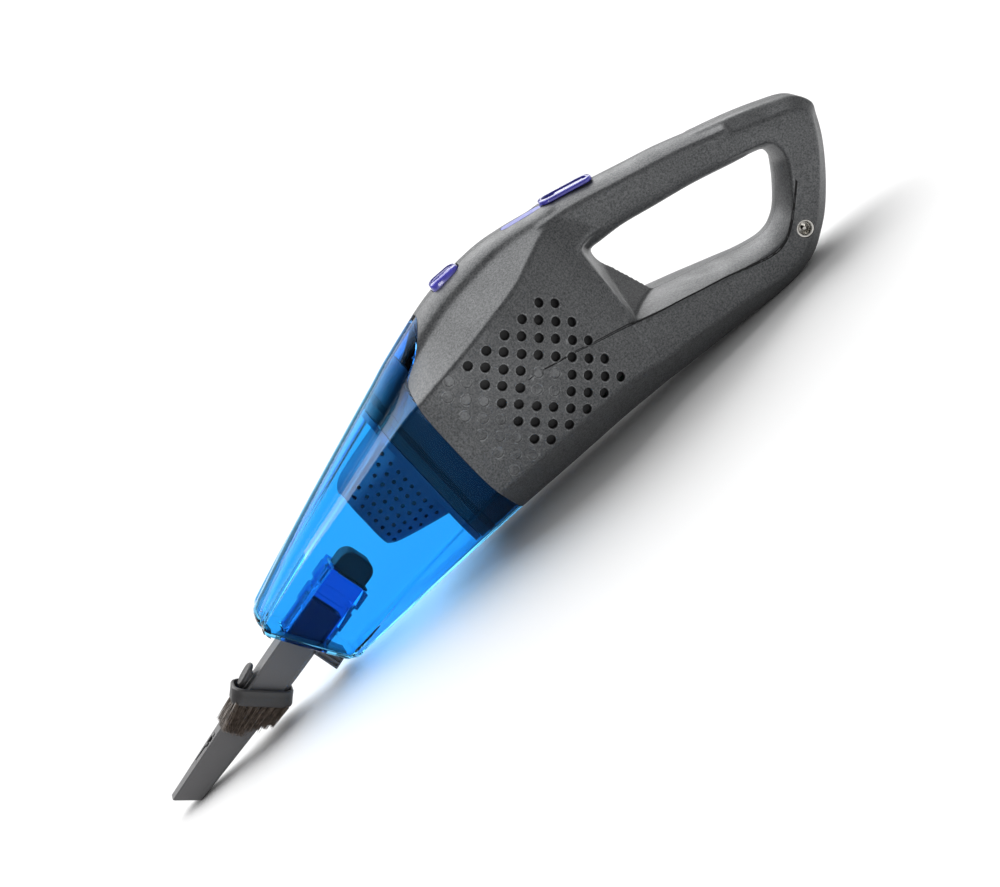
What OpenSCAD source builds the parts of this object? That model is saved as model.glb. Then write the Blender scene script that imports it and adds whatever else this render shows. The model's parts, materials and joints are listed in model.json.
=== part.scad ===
/* [Walls and clearances] */
// Thickness of the two body shells
wall = 2.4; // [2:0.1:3]
// Thickness of the clear dust cup
cup_wall = 2; // [1.6:0.1:2.6]
// Air left between the cup's rear edge and the body
seam_gap = 0.4; // [0.3:0.1:0.8]
// Air left between pieces that slide in each other
slip = 0.3; // [0.3:0.05:0.5]

/* [Vents] */
// Diameter of one vent hole
vent_d = 5.1; // [4:0.1:5.6]
// Distance between vent columns in one row
vent_pitch_x = 12.05; // [11:0.05:12.5]
// Distance between vent rows
vent_pitch_z = 6.4; // [6:0.1:6.6]

/* [Motor and fan] */
// Height of the motor's axis above the drawing's base line
motor_z = 56; // [54:0.5:57]
// Diameter of the motor's can
motor_d = 35.8; // [27.5:0.1:36]
// Diameter of the motor's shaft
shaft_d = 3.2; // [2:0.1:4]
// Diameter of the fan wheel
fan_d = 70; // [60:1:71]
// Number of blades on the fan wheel
blades = 12; // [7:1:14]

/* [Battery and charging] */
// Diameter of one battery cell
cell_d = 18.2; // [14:0.1:18.4]
// Length of one battery cell
cell_l = 65; // [50:1:65]
// Diameter of the hole in the charging jack
jack_bore_d = 6.6; // [5.5:0.1:7]
// Diameter of the pin in the charging jack
jack_pin_d = 2.1; // [1.7:0.1:2.5]

/* [Crevice tool] */
// Tilt of the tool and its socket below the body's axis, in degrees
tool_tilt = 12.2; // [10:0.1:14]
// Width of the tool where it leaves the cup
tool_w = 13.4; // [12:0.1:14]
// Height of the tool where it leaves the cup
tool_h = 18.6; // [17:0.1:19]
// Thickness of the tool's walls
tool_wall = 1.8; // [1.4:0.1:2.2]
// Number of bristle tufts along each side of the brush
tufts = 7; // [5:1:8]

/* [Hidden] */
far = 400;

// The tool's own axis starts at its mouth in the nose, runs up to the rear and has its height across it
mouth = [-131, 27];
socket_l = 44;
plug_l = 26;
tool_reach = 98;
tip_w = 9;
tip_h = 12.4;
tip_lean = 4;
collar_at = -29;
collar_lean = -30;
function tool_point(a, h) = mouth + [a * cos(tool_tilt) - h * sin(tool_tilt), a * sin(tool_tilt) + h * cos(tool_tilt)];

// The drawing's base line runs under the cup. The object lies on its belly and the tool's tip.
belly = [174.5, -5.45];
tip_low = tool_point(2 * tip_lean - tool_reach, -tip_h / 2);
rest_tilt = atan2(belly[1] - tip_low[1], belly[0] - tip_low[0]);
rest_drop = belly[1] * cos(rest_tilt) - belly[0] * sin(rest_tilt);
function belly_at(x) = [x, belly[1] + (x - belly[0]) * tan(rest_tilt)];
tip_high = tool_point(-tool_reach, tip_h / 2);
tail_end = [241.8, 56.5];
function rest_x(p) = p[0] * cos(rest_tilt) + p[1] * sin(rest_tilt);
rest_middle = (rest_x(tip_high) + rest_x(tail_end)) / 2;

// Stations of the body and the cup, nose to tail:
// [x, base height, base half-width, chine height, chine half-width,
//  shoulder height, shoulder half-width, crown edge height, crown edge half-width, crown height]
cup_stations = [
    [-140, 3.4, 9, 8, 18.5, 49.5, 23.5, 50.5, 13, 51.5],
    [-100, 4.5, 14, 12, 25, 63.3, 30, 65.2, 15, 68.2],
    [-60, 5.6, 18, 20, 33.5, 73.8, 36, 78, 17, 82.9],
    [-15, 6.8, 22, 26.5, 42.5, 85.9, 42.5, 92, 18, 98.3],
    [0, 7, 23, 27, 44, 88, 44, 97, 18, 103.5],
    [31, 6.5, 24, 26.7, 46, 92, 45.7, 103.2, 18, 112]
];
body_stations = [
    [-15, 6.8, 22, 26.5, 42.5, 85.9, 42.5, 92, 18, 98.3],
    [0, 7, 23, 27, 44, 88, 44, 97, 18, 103.5],
    [31, 6.5, 24, 26.7, 46, 92, 45.7, 103.2, 18, 112],
    [50, 6.1, 24, 26.4, 46, 95, 45, 107, 18, 114.6],
    [70, 5, 22, 24.5, 42.5, 97.5, 40, 109.5, 17, 115.2],
    [85, 3.5, 20, 21.7, 38, 102, 30, 109.5, 16.5, 113],
    [100, 2, 18, 17.7, 34, 104, 19, 106.5, 15, 109.8],
    [112, 0.7, 17, 15.3, 32, 100, 17, 103.5, 14, 107.4]
];

// Stations of the grip: [x, middle height, half-height, half-width], an ellipse each
grip_stations = [
    [100, 94, 15.8, 18], [115, 91, 15.8, 17], [130, 88.1, 14.1, 16],
    [150, 83, 13.4, 16], [170, 77.9, 12.8, 15.5], [190, 71.4, 12.1, 15]
];

// Stations of the tail and the lower bar, from the end of the grip round to the body:
// [outer point, inner point, outer half-width, half-width, outer bevel depth, inner crown depth]
tail_stations = [
    [[190, 83.5], [190, 59.3], 7, 14.5, 7, 6],
    [[206, 78.2], [202, 56], 7.5, 15.5, 6.5, 5],
    [[222, 71.8], [208, 53.5], 8, 16.5, 6.5, 5],
    [[235.5, 65], [209.7, 49.5], 8.5, 17, 6.5, 4.5],
    [tail_end, [209.3, 45], 9, 17, 6.5, 4],
    [[240, 50.5], [207.5, 41.5], 9, 17, 6.5, 4],
    [[234, 38.5], [203.5, 35.5], 9.5, 17.5, 7, 4],
    [[224.5, 24.5], [198.5, 29.5], 10, 17.5, 7, 4],
    [[213, 11], [194, 25], 10, 17.5, 7, 4],
    [[203, 2.8], [190, 22.5], 10.5, 18, 7, 4.5],
    [[193.5, -2.6], [186, 21], 11, 19, 7, 5],
    [belly_at(181), [179.5, 20.6], 11.5, 20.4, 7.8, 5],
    [belly_at(168), [168, 23], 12, 23, 9.6, 5],
    [[156, -4.2], [156, 27], 12.8, 25.6, 11.5, 5],
    [[140, -2.4], [140, 32], 14, 28.5, 13, 4.5],
    [[120, -0.2], [120, 38.5], 16, 31, 14.5, 4.5],
    [[104, 1.6], [104, 45], 17.5, 33, 15, 5]
];

// The seam between cup and body: upright up to the shoulder, then back over the crown as a tongue
seam_x = -3.5;
seam_bend_z = 88;
tongue_end = [31, 113.5];
nose_low = [-111.5, 4];
nose_high = [-138, 53];

spigot_x = -24;
seal_x = -19;
seal_w = 3.4;
flange_x = -27.5;
screen_front_x = -61;

fan_x = 15;
fan_w = 13;
can_x = 42;
can_l = 50;
cells_x = 41;
cell_z = 20.5;
cell_pitch = 18.6;

knob_tilt = 14.6;
knob_at = [121, 104.9];
knob_l = 29;
knob_w = 12.4;
knob_travel = 6;
lens_tilt = 11.8;
lens_at = [96, 110.6];
button_x = 48.5;
button_z = 114.4;
jack_at = [197, 12.5];
jack_face_y = -17.2;

// Screw bosses: [x, height, boss diameter]
screw_spots = [[30, 98.6, 6.6], [14, 12.7, 7], [101, 96, 8], [204, 66, 8], [116, 12, 8], [172, 6, 8]];
screw_d = 3;
head_y = 8;
vent_rows = [for (r = [0:9]) [r, 29.7 + r * vent_pitch_z, r % 2 == 0 ? 33.4 : 27.4]];

function mix(a, b, f) = a + (b - a) * f;

// Points of one body or cup section, drawn in by t all round
function section(s, t) =
    let (half = [
        [s[2] - 0.6 * t, s[1] + t], [s[4] - t, s[3] + 0.3 * t], [s[6] - t, s[5] - 0.3 * t],
        [s[8] - 0.5 * t, s[7] - t], [0.5 * s[8], mix(s[7], s[9], 0.75) - t]
    ])
    concat([for (p = half) [s[0], p[0], p[1]]], [for (p = half) [s[0], -p[0], p[1]]], [[s[0], 0, s[9] - t]]);

function oval(s, t) = [
    for (k = [0:15]) let (a = k * 22.5) [s[0], (s[3] - t) * sin(a), s[1] + (s[2] - t) * cos(a)]
];

// Points of one tail or bar section, in the plane through its outer and inner points
function band(s, t) =
    let (
        d = s[1] - s[0], l = norm(d), e = d / l,
        half = [[s[2] - 0.5 * t, t], [s[3] - t, s[4] + 0.3 * t], [s[3] - t, l - s[5] - 0.6 * t], [0.3 * s[3], l - t]]
    )
    [for (side = [-1, 1], p = half) [s[0][0] + e[0] * p[1], side * p[0], s[0][1] + e[1] * p[1]]];

// A round bar swept along a path of points, as one closed solid
function ring_at(p, dir, r, sides) =
    let (
        n = dir / norm(dir),
        a0 = cross(n, abs(n[1]) < 0.9 ? [0, 1, 0] : [1, 0, 0]), a = a0 / norm(a0), b = cross(n, a)
    )
    [for (k = [0:sides - 1]) p + r * (cos(k * 360 / sides) * a + sin(k * 360 / sides) * b)];

module tube_along(path, r, sides = 8) {
    n = len(path);
    rings = [
        for (i = [0:n - 1]) each ring_at(path[i], path[min(i + 1, n - 1)] - path[max(i - 1, 0)], r, sides)
    ];
    faces = concat(
        [[for (k = [0:sides - 1]) k]],
        [for (i = [0:n - 2], k = [0:sides - 1]) let (j = (k + 1) % sides, a = i * sides)
            [a + j, a + k, a + sides + k, a + sides + j]],
        [[for (k = [sides - 1:-1:0]) (n - 1) * sides + k]]
    );
    polyhedron(rings, faces);
}

module skin(points) {
    hull() polyhedron(points, [[for (i = [0:len(points) - 1]) i]]);
}

module loft(stations, t) {
    for (i = [0:len(stations) - 2]) skin(concat(section(stations[i], t), section(stations[i + 1], t)));
}

// Everything is drawn above the base line, then tipped so that it lies on the ground
module stand() {
    translate([-rest_middle, 0, -rest_drop]) rotate([0, rest_tilt, 0]) children();
}

// A profile in length and height, as wide as w
module side_plate(points, w = far) {
    rotate([90, 0, 0]) linear_extrude(w, center = true) polygon(points);
}

module along_x(x, z, y = 0) {
    translate([x, y, z]) rotate([0, 90, 0]) children();
}

module along_y(x, z, y = 0) {
    translate([x, y, z]) rotate([-90, 0, 0]) children();
}

// The tool's frame: +X towards the body along the tool, Z across its height
module on_tool(at = 0) {
    translate([mouth[0], 0, mouth[1]]) rotate([0, -tool_tilt, 0]) translate([at, 0, 0]) children();
}

// A flat patch of the crown: X runs down it to the rear, Z stands out of it
module on_crown(at, tilt) {
    translate([at[0], 0, at[1]]) rotate([0, tilt, 0]) children();
}

module block(x, y, z) {
    translate([x[0], y[0], z[0]]) cube([x[1] - x[0], y[1] - y[0], z[1] - z[0]]);
}

module ahead_of_seam(gap) {
    side_plate([
        [-far, -far], [seam_x - gap, -far], [seam_x - gap, seam_bend_z],
        [tongue_end[0] - gap, tongue_end[1]], [tongue_end[0] + 20 - gap, tongue_end[1] + 14], [-far, tongue_end[1] + 14]
    ]);
}

// The V-shaped hollow at the front of the hand hole
module hand_hole_front(back) {
    for (side = [-1, 1])
        skin([
            for (x = [-back, 20], p = [[111, 0, 45], [111, 0, 72], [98, side * 36, 32], [98, side * 36, 80]])
                [p[0] + (x == 20 ? 20 : -back), p[1], p[2]]
        ]);
}

module loop(t) {
    for (i = [0:len(grip_stations) - 2]) skin(concat(oval(grip_stations[i], t), oval(grip_stations[i + 1], t)));
    for (i = [0:len(tail_stations) - 2]) skin(concat(band(tail_stations[i], t), band(tail_stations[i + 1], t)));
}

module vents(side) {
    for (row = vent_rows, c = [0:4])
        if (!(c == 2 && row[0] == 5 || c == 2 && row[0] == 3 || (c == 1 || c == 2) && row[0] == 4))
            along_y(row[2] + c * vent_pitch_x, row[1], side < 0 ? -52 : 20)
                cylinder(h = 32, d = vent_d, $fn = 12);
}

module screw_bosses() {
    intersection() {
        for (s = screw_spots) along_y(s[0], s[1], -60) cylinder(h = 120, d = s[2], $fn = 20);
        union() {
            loft(body_stations, 1);
            loop(1);
        }
    }
}

module spring_shelf() {
    intersection() {
        block([44.2, 56.5], [-40, 40], [button_z - 11.2, button_z - 9.7]);
        loft(body_stations, 1);
    }
}

// One half of the body, on the side given by its sign
module shell(side) {
    difference() {
        union() {
            difference() {
                union() {
                    difference() {
                        loft(body_stations, 0);
                        hand_hole_front(0);
                    }
                    loop(0);
                }
                difference() {
                    loft(body_stations, wall);
                    hand_hole_front(wall * 1.2);
                }
                loop(wall);
            }
            screw_bosses();
            spring_shelf();
        }
        ahead_of_seam(0);
        vents(side);
        for (s = screw_spots) along_y(s[0], s[1], -13) cylinder(h = 40, d = screw_d + 0.2, $fn = 16);
        for (s = screw_spots) along_y(s[0], s[1], head_y - 2.2) cylinder(h = 60, d = 5.8, $fn = 20);
        button_well(slip);
        knob_well();
        lens_body(0.1);
        along_y(jack_at[0], jack_at[1], -30) cylinder(h = 28, d = jack_bore_d + 2.9, $fn = 32);
        translate([-far, side < 0 ? 0 : -far, -far]) cube([2 * far, far, 2 * far]);
    }
}

module right_shell() { color("dimgray") stand() shell(-1); }
module left_shell() { color("slategray") stand() shell(1); }

module shell_screws() {
    color("silver") stand()
        for (s = screw_spots) {
            along_y(s[0], s[1], head_y - 2.1) cylinder(h = 2, d = 5.4);
            along_y(s[0], s[1], -12) cylinder(h = head_y + 10.5, d = screw_d);
        }
}

// The collar that the cup plugs over: a short tube with a seal groove and a plate with the air hole
module front_spigot() {
    color("#2a2c30") stand()
        difference() {
            intersection() {
                loft(cup_stations, cup_wall + 0.7);
                block([spigot_x, 5], [-60, 60], [0, 120]);
            }
            intersection() {
                loft(cup_stations, cup_wall + 4);
                block([spigot_x - 1, 1.5], [-60, 60], [0, 130]);
            }
            along_x(0, motor_z) cylinder(h = 12, d = 44, $fn = 64);
            difference() {
                block([seal_x - 0.2, seal_x + seal_w + 0.2], [-70, 70], [-10, 120]);
                loft(cup_stations, cup_wall + 2.2);
            }
        }
}

module seal_ring() {
    color("#111214") stand()
        intersection() {
            difference() {
                loft(cup_stations, cup_wall + 0.35);
                loft(cup_stations, cup_wall + 2.1);
            }
            block([seal_x, seal_x + seal_w], [-60, 60], [0, 120]);
        }
}

module motor_can() {
    color("silver") stand()
        difference() {
            union() {
                along_x(can_x, motor_z) cylinder(h = can_l, d = motor_d);
                along_x(can_x - 3, motor_z) cylinder(h = 3, d = 12);
            }
            along_x(can_x - 4, motor_z) cylinder(h = can_l + 8, d = shaft_d + 0.1);
            along_x(can_x + 2, motor_z) cylinder(h = can_l, d = motor_d - 3);
            for (a = [0, 180]) along_x(can_x - 1, motor_z + 12.5 * cos(a)) cylinder(h = 4, d = 2.6);
        }
}

module motor_end_cap() {
    color("ivory") stand()
        difference() {
            union() {
                along_x(can_x + can_l - 6, motor_z) cylinder(h = 6, d = motor_d - 3.2);
                along_x(can_x + can_l, motor_z) cylinder(h = 3, d = 14);
                for (y = [-11, 11]) translate([can_x + can_l + 2, y, motor_z]) cube([5, 0.8, 5], center = true);
            }
            along_x(can_x + can_l - 8, motor_z) cylinder(h = 14, d = shaft_d + 0.1);
        }
}

module motor_mount() {
    color("#3a3c40") stand()
        difference() {
            union() {
                along_x(can_x - 7.5, motor_z) cylinder(h = 4, d = 78);
                along_x(can_x - 3.5, motor_z) cylinder(h = 12, d = motor_d + 5);
            }
            along_x(can_x - 0.1, motor_z) cylinder(h = 12, d = motor_d + 0.2);
            along_x(can_x - 8, motor_z) cylinder(h = 10, d = 12.4);
            for (a = [0, 180]) along_x(can_x - 8, motor_z + 12.5 * cos(a)) cylinder(h = 9, d = 2.8);
            for (a = [0:30:330]) along_x(can_x - 8, motor_z + 31 * cos(a), 31 * sin(a)) cylinder(h = 6, d = 8);
        }
}

module motor_screws() {
    color("gainsboro") stand()
        for (a = [0, 180]) along_x(can_x - 9.2, motor_z + 12.5 * cos(a)) {
            cylinder(h = 1.6, d = 4.6);
            cylinder(h = 12.5, d = 2.5);
        }
}

module motor_shaft() {
    color("lightgray") stand()
        along_x(fan_x - 2, motor_z) cylinder(h = can_x + can_l + 4 - fan_x, d = shaft_d);
}

module impeller() {
    color("#e8e6df") stand()
        difference() {
            union() {
                along_x(fan_x + fan_w - 1.6, motor_z) cylinder(h = 1.6, d = fan_d);
                along_x(fan_x, motor_z) cylinder(h = fan_w - 1, d1 = 9, d2 = 16);
                for (b = [0:blades - 1])
                    along_x(fan_x, motor_z) rotate([0, 0, b * 360 / blades]) translate([11, 0, 0]) rotate([0, 0, 24])
                        translate([0, -0.6, 2]) cube([22.5, 1.2, fan_w - 3.2]);
            }
            along_x(fan_x - 1, motor_z) cylinder(h = fan_w + 2, d = shaft_d);
        }
}

// The round cover over the fan wheel, open at its eye and round its back edge
module fan_shroud() {
    color("#4a4c50") stand()
        difference() {
            along_x(fan_x - 5, motor_z) cylinder(h = 22, d = fan_d + 8);
            along_x(fan_x - 2.8, motor_z) cylinder(h = 30, d = fan_d + 4);
            along_x(fan_x - 6, motor_z) cylinder(h = 5, d = 40);
            for (a = [0:30:330]) along_x(fan_x + fan_w + 0.5, motor_z) rotate([0, 0, a + 15])
                translate([fan_d / 2 + 3, 0, 2]) cube([12, 9, 4], center = true);
        }
}

module battery_cells() {
    color("mediumseagreen") stand()
        for (k = [-1:1]) along_x(cells_x, cell_z, k * cell_pitch) {
            cylinder(h = cell_l, d = cell_d);
            translate([0, 0, cell_l]) cylinder(h = 1.2, d = 6);
        }
}

module battery_tray() {
    color("#2f3136") stand()
        difference() {
            union() {
                for (x = [cells_x + 6, cells_x + cell_l - 14])
                    block([x, x + 6], [-cell_pitch - 3, cell_pitch + 3], [cell_z - cell_d / 2 - 1, cell_z + 3]);
                block([cells_x + 6, cells_x + cell_l - 10], [-3, 3], [cell_z - cell_d / 2 - 1.6, cell_z - cell_d / 2 - 0.6]);
            }
            for (k = [-1:1]) along_x(cells_x - 1, cell_z, k * cell_pitch) cylinder(h = cell_l + 2, d = cell_d + 0.2);
        }
}

module circuit_board() {
    color("darkgreen") stand() {
        block([46, 92], [-13, 13], [82, 83.6]);
        block([50, 60], [-6, 6], [83.6, 87]);
        block([66, 72], [-9, -3], [83.6, 89]);
        block([76, 88], [3, 10], [83.6, 86]);
    }
}

module charge_jack() {
    color("#c8c8c4") stand()
        difference() {
            along_y(jack_at[0], jack_at[1], jack_face_y) cylinder(h = 12, d = jack_bore_d + 2.6);
            along_y(jack_at[0], jack_at[1], jack_face_y - 1) cylinder(h = 10.5, d = jack_bore_d);
        }
}

module jack_pin() {
    color("gold") stand()
        along_y(jack_at[0], jack_at[1], jack_face_y + 1) cylinder(h = 8.5, d = jack_pin_d);
}

module switch_module() {
    color("#1d1e20") stand()
        on_crown(knob_at, knob_tilt) {
            block([-11, 8], [-5, 5], [-17, -6.6]);
            for (x = [-8, -2, 4]) block([x - 1, x + 1], [-0.4, 0.4], [-20, -17]);
        }
}

module rounded_bar(l, w, h) {
    linear_extrude(h) hull() for (x = [-1, 1], y = [-1, 1])
        translate([x * (l / 2 - w * 0.3), y * w * 0.2, 0]) circle(d = w * 0.6, $fn = 32);
}

module knob_well() {
    on_crown(knob_at, knob_tilt) {
        translate([-knob_travel / 2, 0, -0.1]) rounded_bar(knob_l + knob_travel + 2 * slip, knob_w + 2 * slip, 9);
        block([-knob_travel - 2.2, 2.2], [-2.4, 2.4], [-5, 2]);
    }
}

// The sliding knob, with a rim round a shallow dish and a stem down to the switch
module power_switch() {
    color("#2b2f8f") stand()
        on_crown(knob_at, knob_tilt) difference() {
            union() {
                translate([0, 0, 0.25]) rounded_bar(knob_l, knob_w, 1.9);
                block([-1.5, 1.5], [-1.8, 1.8], [-6, 1]);
            }
            translate([0, 0, 1.2]) rounded_bar(knob_l - 6, knob_w - 5, 3);
        }
}

module lens_body(gap) {
    on_crown(lens_at, lens_tilt) translate([0, 0, -2.2 - gap]) rounded_bar(23 + 2 * gap, 7 + 2 * gap, 12);
}

module indicator_lens() {
    color("#8f98e8") stand()
        intersection() {
            lens_body(0);
            on_crown(lens_at, lens_tilt) block([-20, 20], [-10, 10], [-4, 0.1]);
        }
}

module status_led() {
    color("white") stand() on_crown(lens_at, lens_tilt) translate([-4, 0, -9]) {
        cylinder(h = 4, d = 3);
        translate([0, 0, 4]) sphere(d = 3);
        translate([0, 0, -1]) cylinder(h = 1.2, d = 3.8);
    }
}

module button_well(gap) {
    translate([button_x, 0, button_z - 7]) rounded_bar(17 + 2 * gap, 12 + 2 * gap, 14);
}

// The latch button: a domed cap with a spring bore, and an arm forward to a tooth under the cup's tongue
module release_button() {
    dome_r = 25.4;
    color("#2b2f8f") stand()
        union() {
            difference() {
                translate([button_x, 0, button_z - 6.8]) rounded_bar(17, 12, 10.6);
                along_y(button_x, button_z + 3.2 - dome_r, -10) difference() {
                    cylinder(h = 20, r = dome_r + 15, $fn = 96);
                    translate([0, 0, -1]) cylinder(h = 22, r = dome_r, $fn = 96);
                }
                translate([button_x, 0, button_z - 10]) cylinder(h = 8, d = 7.4);
            }
            block([40.6, 43], [-4, 4], [105, button_z - 6]);
            block([26, 41], [-4, 4], [105, 106.6]);
            block([26, 28.6], [-4, 4], [106, 106.9]);
        }
}

// A compression coil under the latch button
module latch_spring() {
    turns = 4;
    steps = 10;
    r = 2.9;
    h = 5.6;
    color("silver") stand() translate([button_x, 0, button_z - 9.4])
        tube_along([
            for (i = [0:turns * steps]) let (a = i * 360 / steps)
                [r * cos(a), r * sin(a), 0.4 + h * i / (turns * steps)]
        ], 0.35, 6);
}

module wiring() {
    color("crimson") stand() {
        tube_along([[cells_x + cell_l + 3, -5, 24], [109, -4, 30], [103.5, -3, 44], [101, -3, 60], [99, -3, 74],
            [97, -2, 80], [94, -2, 84.6]], 0.9);
        tube_along([[94, 4, 85], [98, 4, 87], [102, 3, 88.6], [106, 2, 87.5], [109, 2, 86]], 0.9);
        tube_along([[110, 5, 24], [118, 6, 22], [135, 6, 18.5], [160, 6, 14.5], [178, 4, 13.2], [190, 0, 13],
            [194.5, -3, 12.6]], 0.9);
    }
}

// The clear cup: a wedge with a square-cut nose, open behind, and a tongue over the body's crown
module dust_cup() {
    color([0.1, 0.45, 0.9, 0.5]) stand()
        difference() {
            intersection() {
                loft(cup_stations, 0);
                ahead_of_seam(seam_gap);
            }
            difference() {
                loft(cup_stations, cup_wall);
                nose_cut(cup_wall);
            }
            nose_cut(0);
            on_tool(-20) translate([0, 0, -tool_h / 2 - 2 - 0.1]) translate([0, -tool_w / 2 - 2.1, 0])
                cube([40, tool_w + 4.2, tool_h + 4.2]);
        }
}

// Everything ahead of the slanted nose face, moved back into the cup by a given depth
module nose_cut(back) {
    d = (nose_high - nose_low) / norm(nose_high - nose_low);
    low = nose_low - 40 * d + back * [d[1], -d[0]];
    high = nose_high + 60 * d + back * [d[1], -d[0]];
    side_plate([low, high, [-far, high[1]], [-far, low[1]]]);
}

// The square duct in the nose that holds the tool, with two ears for the flap's pin
module inlet_tube() {
    color([0.1, 0.4, 0.85, 0.6]) stand()
        difference() {
            on_tool() {
                block([-12, socket_l], [-tool_w / 2 - 2, tool_w / 2 + 2], [-tool_h / 2 - 2, tool_h / 2 + 2]);
                for (side = [-1, 1]) scale([1, side, 1])
                    block([socket_l - 6, socket_l + 2.8], [7.2, tool_w / 2 + 2], [tool_h / 2 - 2.3, tool_h / 2 + 3.2]);
            }
            on_tool() block([-14, socket_l + 8], [-tool_w / 2 - 0.2, tool_w / 2 + 0.2], [-tool_h / 2 - 0.2, tool_h / 2 + 0.2]);
            nose_cut(0);
            on_tool(socket_l - 3) block([0, 10], [-7.1, 7.1], [tool_h / 2 - 1, tool_h / 2 + 8]);
            on_flap_hinge() cylinder(h = 30, d = 1.7, center = true);
        }
}

// The flap's hinge line, along Z here
module on_flap_hinge() {
    on_tool(socket_l + 1.2) translate([0, 0, tool_h / 2 + 1]) rotate([-90, 0, 0]) children();
}

module flap_pin() {
    color("silver") stand() on_flap_hinge() cylinder(h = 17.2, d = 1.6, center = true);
}

module flap_valve() {
    color("#141416") stand()
        difference() {
            union() {
                on_tool(socket_l + 1.2) {
                    block([-0.9, 0.9], [-tool_w / 2 - 1.6, tool_w / 2 + 1.6], [-tool_h / 2 - 1.6, tool_h / 2 - 3.7]);
                    block([-0.9, 0.9], [-tool_w / 2, tool_w / 2], [-tool_h / 2, tool_h / 2 + 0.6]);
                }
                on_flap_hinge() cylinder(h = 13.8, d = 3.2, center = true);
            }
            on_flap_hinge() cylinder(h = 30, d = 1.7, center = true);
        }
}

function basket(x, grow) = [
    for (p = [[24, 30], [33, 42], [33, 70], [20, 80]], side = [-1, 1])
        [x, side * p[0] * grow, motor_z - 1 + (p[1] - motor_z) * grow]
];

module basket_solid(t) {
    skin([for (x = [[screen_front_x + t, 0.74 - t / 45], [flange_x, 1 - t / 40]]) each basket(x[0], x[1])]);
}

module filter_screen() {
    color("#24406e") stand()
        difference() {
            basket_solid(0);
            basket_solid(1.6);
            for (z = [42, 52, 62], y = [-14, 0, 14]) along_x(screen_front_x - 2, z, y) cylinder(h = 8, d = 3);
            for (z = [46, 56, 66], x = [-52, -43, -34]) along_y(x, z, -50) cylinder(h = 100, d = 3);
        }
}

module filter_flange() {
    color("#1c2a44") stand()
        difference() {
            intersection() {
                loft([cup_stations[2], cup_stations[3]], cup_wall + 1.4);
                block([flange_x, flange_x + 3], [-60, 60], [0, 110]);
            }
            skin([for (x = [flange_x - 1, flange_x + 8]) each basket(x, 0.94)]);
        }
}

// The pleated filter inside the screen: a ring of folds on a back plate
module filter_pleats() {
    folds = 24;
    color("whitesmoke") stand()
        along_x(screen_front_x + 5, motor_z - 1) difference() {
            linear_extrude(28) polygon([
                for (k = [0:2 * folds - 1]) let (a = k * 180 / folds, r = k % 2 == 0 ? 17.5 : 13.5) [r * cos(a), r * sin(a)]
            ]);
            translate([0, 0, 2]) cylinder(h = 30, d = 22);
        }
}

module filter_tab() {
    color("#2b2f8f") stand()
        along_x(flange_x + 3, motor_z - 1) difference() {
            cylinder(h = 1.6, d = 24);
            translate([0, 0, -1]) cylinder(h = 5, d = 16);
        }
}

// A tapering box of the tool, from a place along it to the slanted tip, drawn in by t
function tool_ring(at, w, h, lean, t) = [
    for (z = [-1, 1], y = [-1, 1]) [at - z * lean, y * (w / 2 - t), z * (h / 2 - t)]
];

module tool_solid(t, extra = 0) {
    on_tool() {
        skin(concat(tool_ring(extra + plug_l, tool_w, tool_h, 0, t), tool_ring(-8, tool_w, tool_h, 0, t)));
        skin(concat(tool_ring(-8, tool_w, tool_h, 0, t),
            tool_ring(-tool_reach + tip_lean - extra, tip_w, tip_h, tip_lean, t)));
    }
}

// The tool: a slanted hollow nozzle, a notch for its snap finger, and a ribbed finger tab against the nose
module crevice_tool() {
    tab = [[3.4, -9.1], [8.7, -9.1], [11.6, -22.6], [3, -23]];
    color("#4b4c50") stand() {
        difference() {
            tool_solid(0);
            tool_solid(tool_wall, 1);
            on_tool(-74) block([0, 12], [-tip_w, tip_w], [tip_h / 2 - 0.6, tip_h]);
        }
        difference() {
            on_tool() side_plate(tab, 13.6);
            for (a = [6.2, 9], side = [-1, 1]) on_tool(a)
                block([-0.7, 0.7], [side * 6.8 - 1, side * 6.8 + 1], [-30, -11]);
        }
    }
}

module collar_slab(w, h, d) {
    on_tool(collar_at) rotate([0, collar_lean, 0]) cube([d, w, h], center = true);
}

// The slanted sleeve that carries the bristles and slides along the tool
module brush_collar() {
    color("#606268") stand()
        difference() {
            union() {
                collar_slab(tool_w + 6.5, tool_h + 12, 9);
                on_tool(collar_at) block([-4, 10], [-5, 5], [tool_h / 2 + 1, tool_h / 2 + 3]);
            }
            on_tool(-70) translate([0, -tool_w / 2 - slip, -tool_h / 2 - slip]) cube([60, tool_w + 2 * slip, tool_h + 2 * slip]);
        }
}

module brush_bristles() {
    color("#3a332e") stand() on_tool(collar_at) rotate([0, collar_lean, 0])
        for (side = [-1, 1], k = [0:tufts - 1])
            translate([-5.3, side * (tool_w / 2 + 1.9), mix(-12, 12, k / (tufts - 1))])
                rotate([0, -90 - collar_lean, 0]) cylinder(h = 14, d1 = 2, d2 = 2.6, $fn = 16);
}

right_shell();
left_shell();
shell_screws();
front_spigot();
seal_ring();
motor_can();
motor_end_cap();
motor_mount();
motor_screws();
motor_shaft();
impeller();
fan_shroud();
battery_cells();
battery_tray();
circuit_board();
charge_jack();
jack_pin();
switch_module();
power_switch();
indicator_lens();
status_led();
release_button();
latch_spring();
wiring();
dust_cup();
inlet_tube();
flap_pin();
flap_valve();
filter_screen();
filter_flange();
filter_pleats();
filter_tab();
crevice_tool();
brush_collar();
brush_bristles();
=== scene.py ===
# %% [markdown]
# # A cordless handheld vacuum
# This lesson builds the visible skin around it. Every piece is drawn in the maker's own frame, in
# millimetres, with the cup's floor as base line, and is then laid down on the ground with one matrix.

# %% Load the frame
import json
import math
import random

import bpy
import numpy as np
from mathutils import Matrix, Vector
from mathutils.bvhtree import BVHTree

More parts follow.
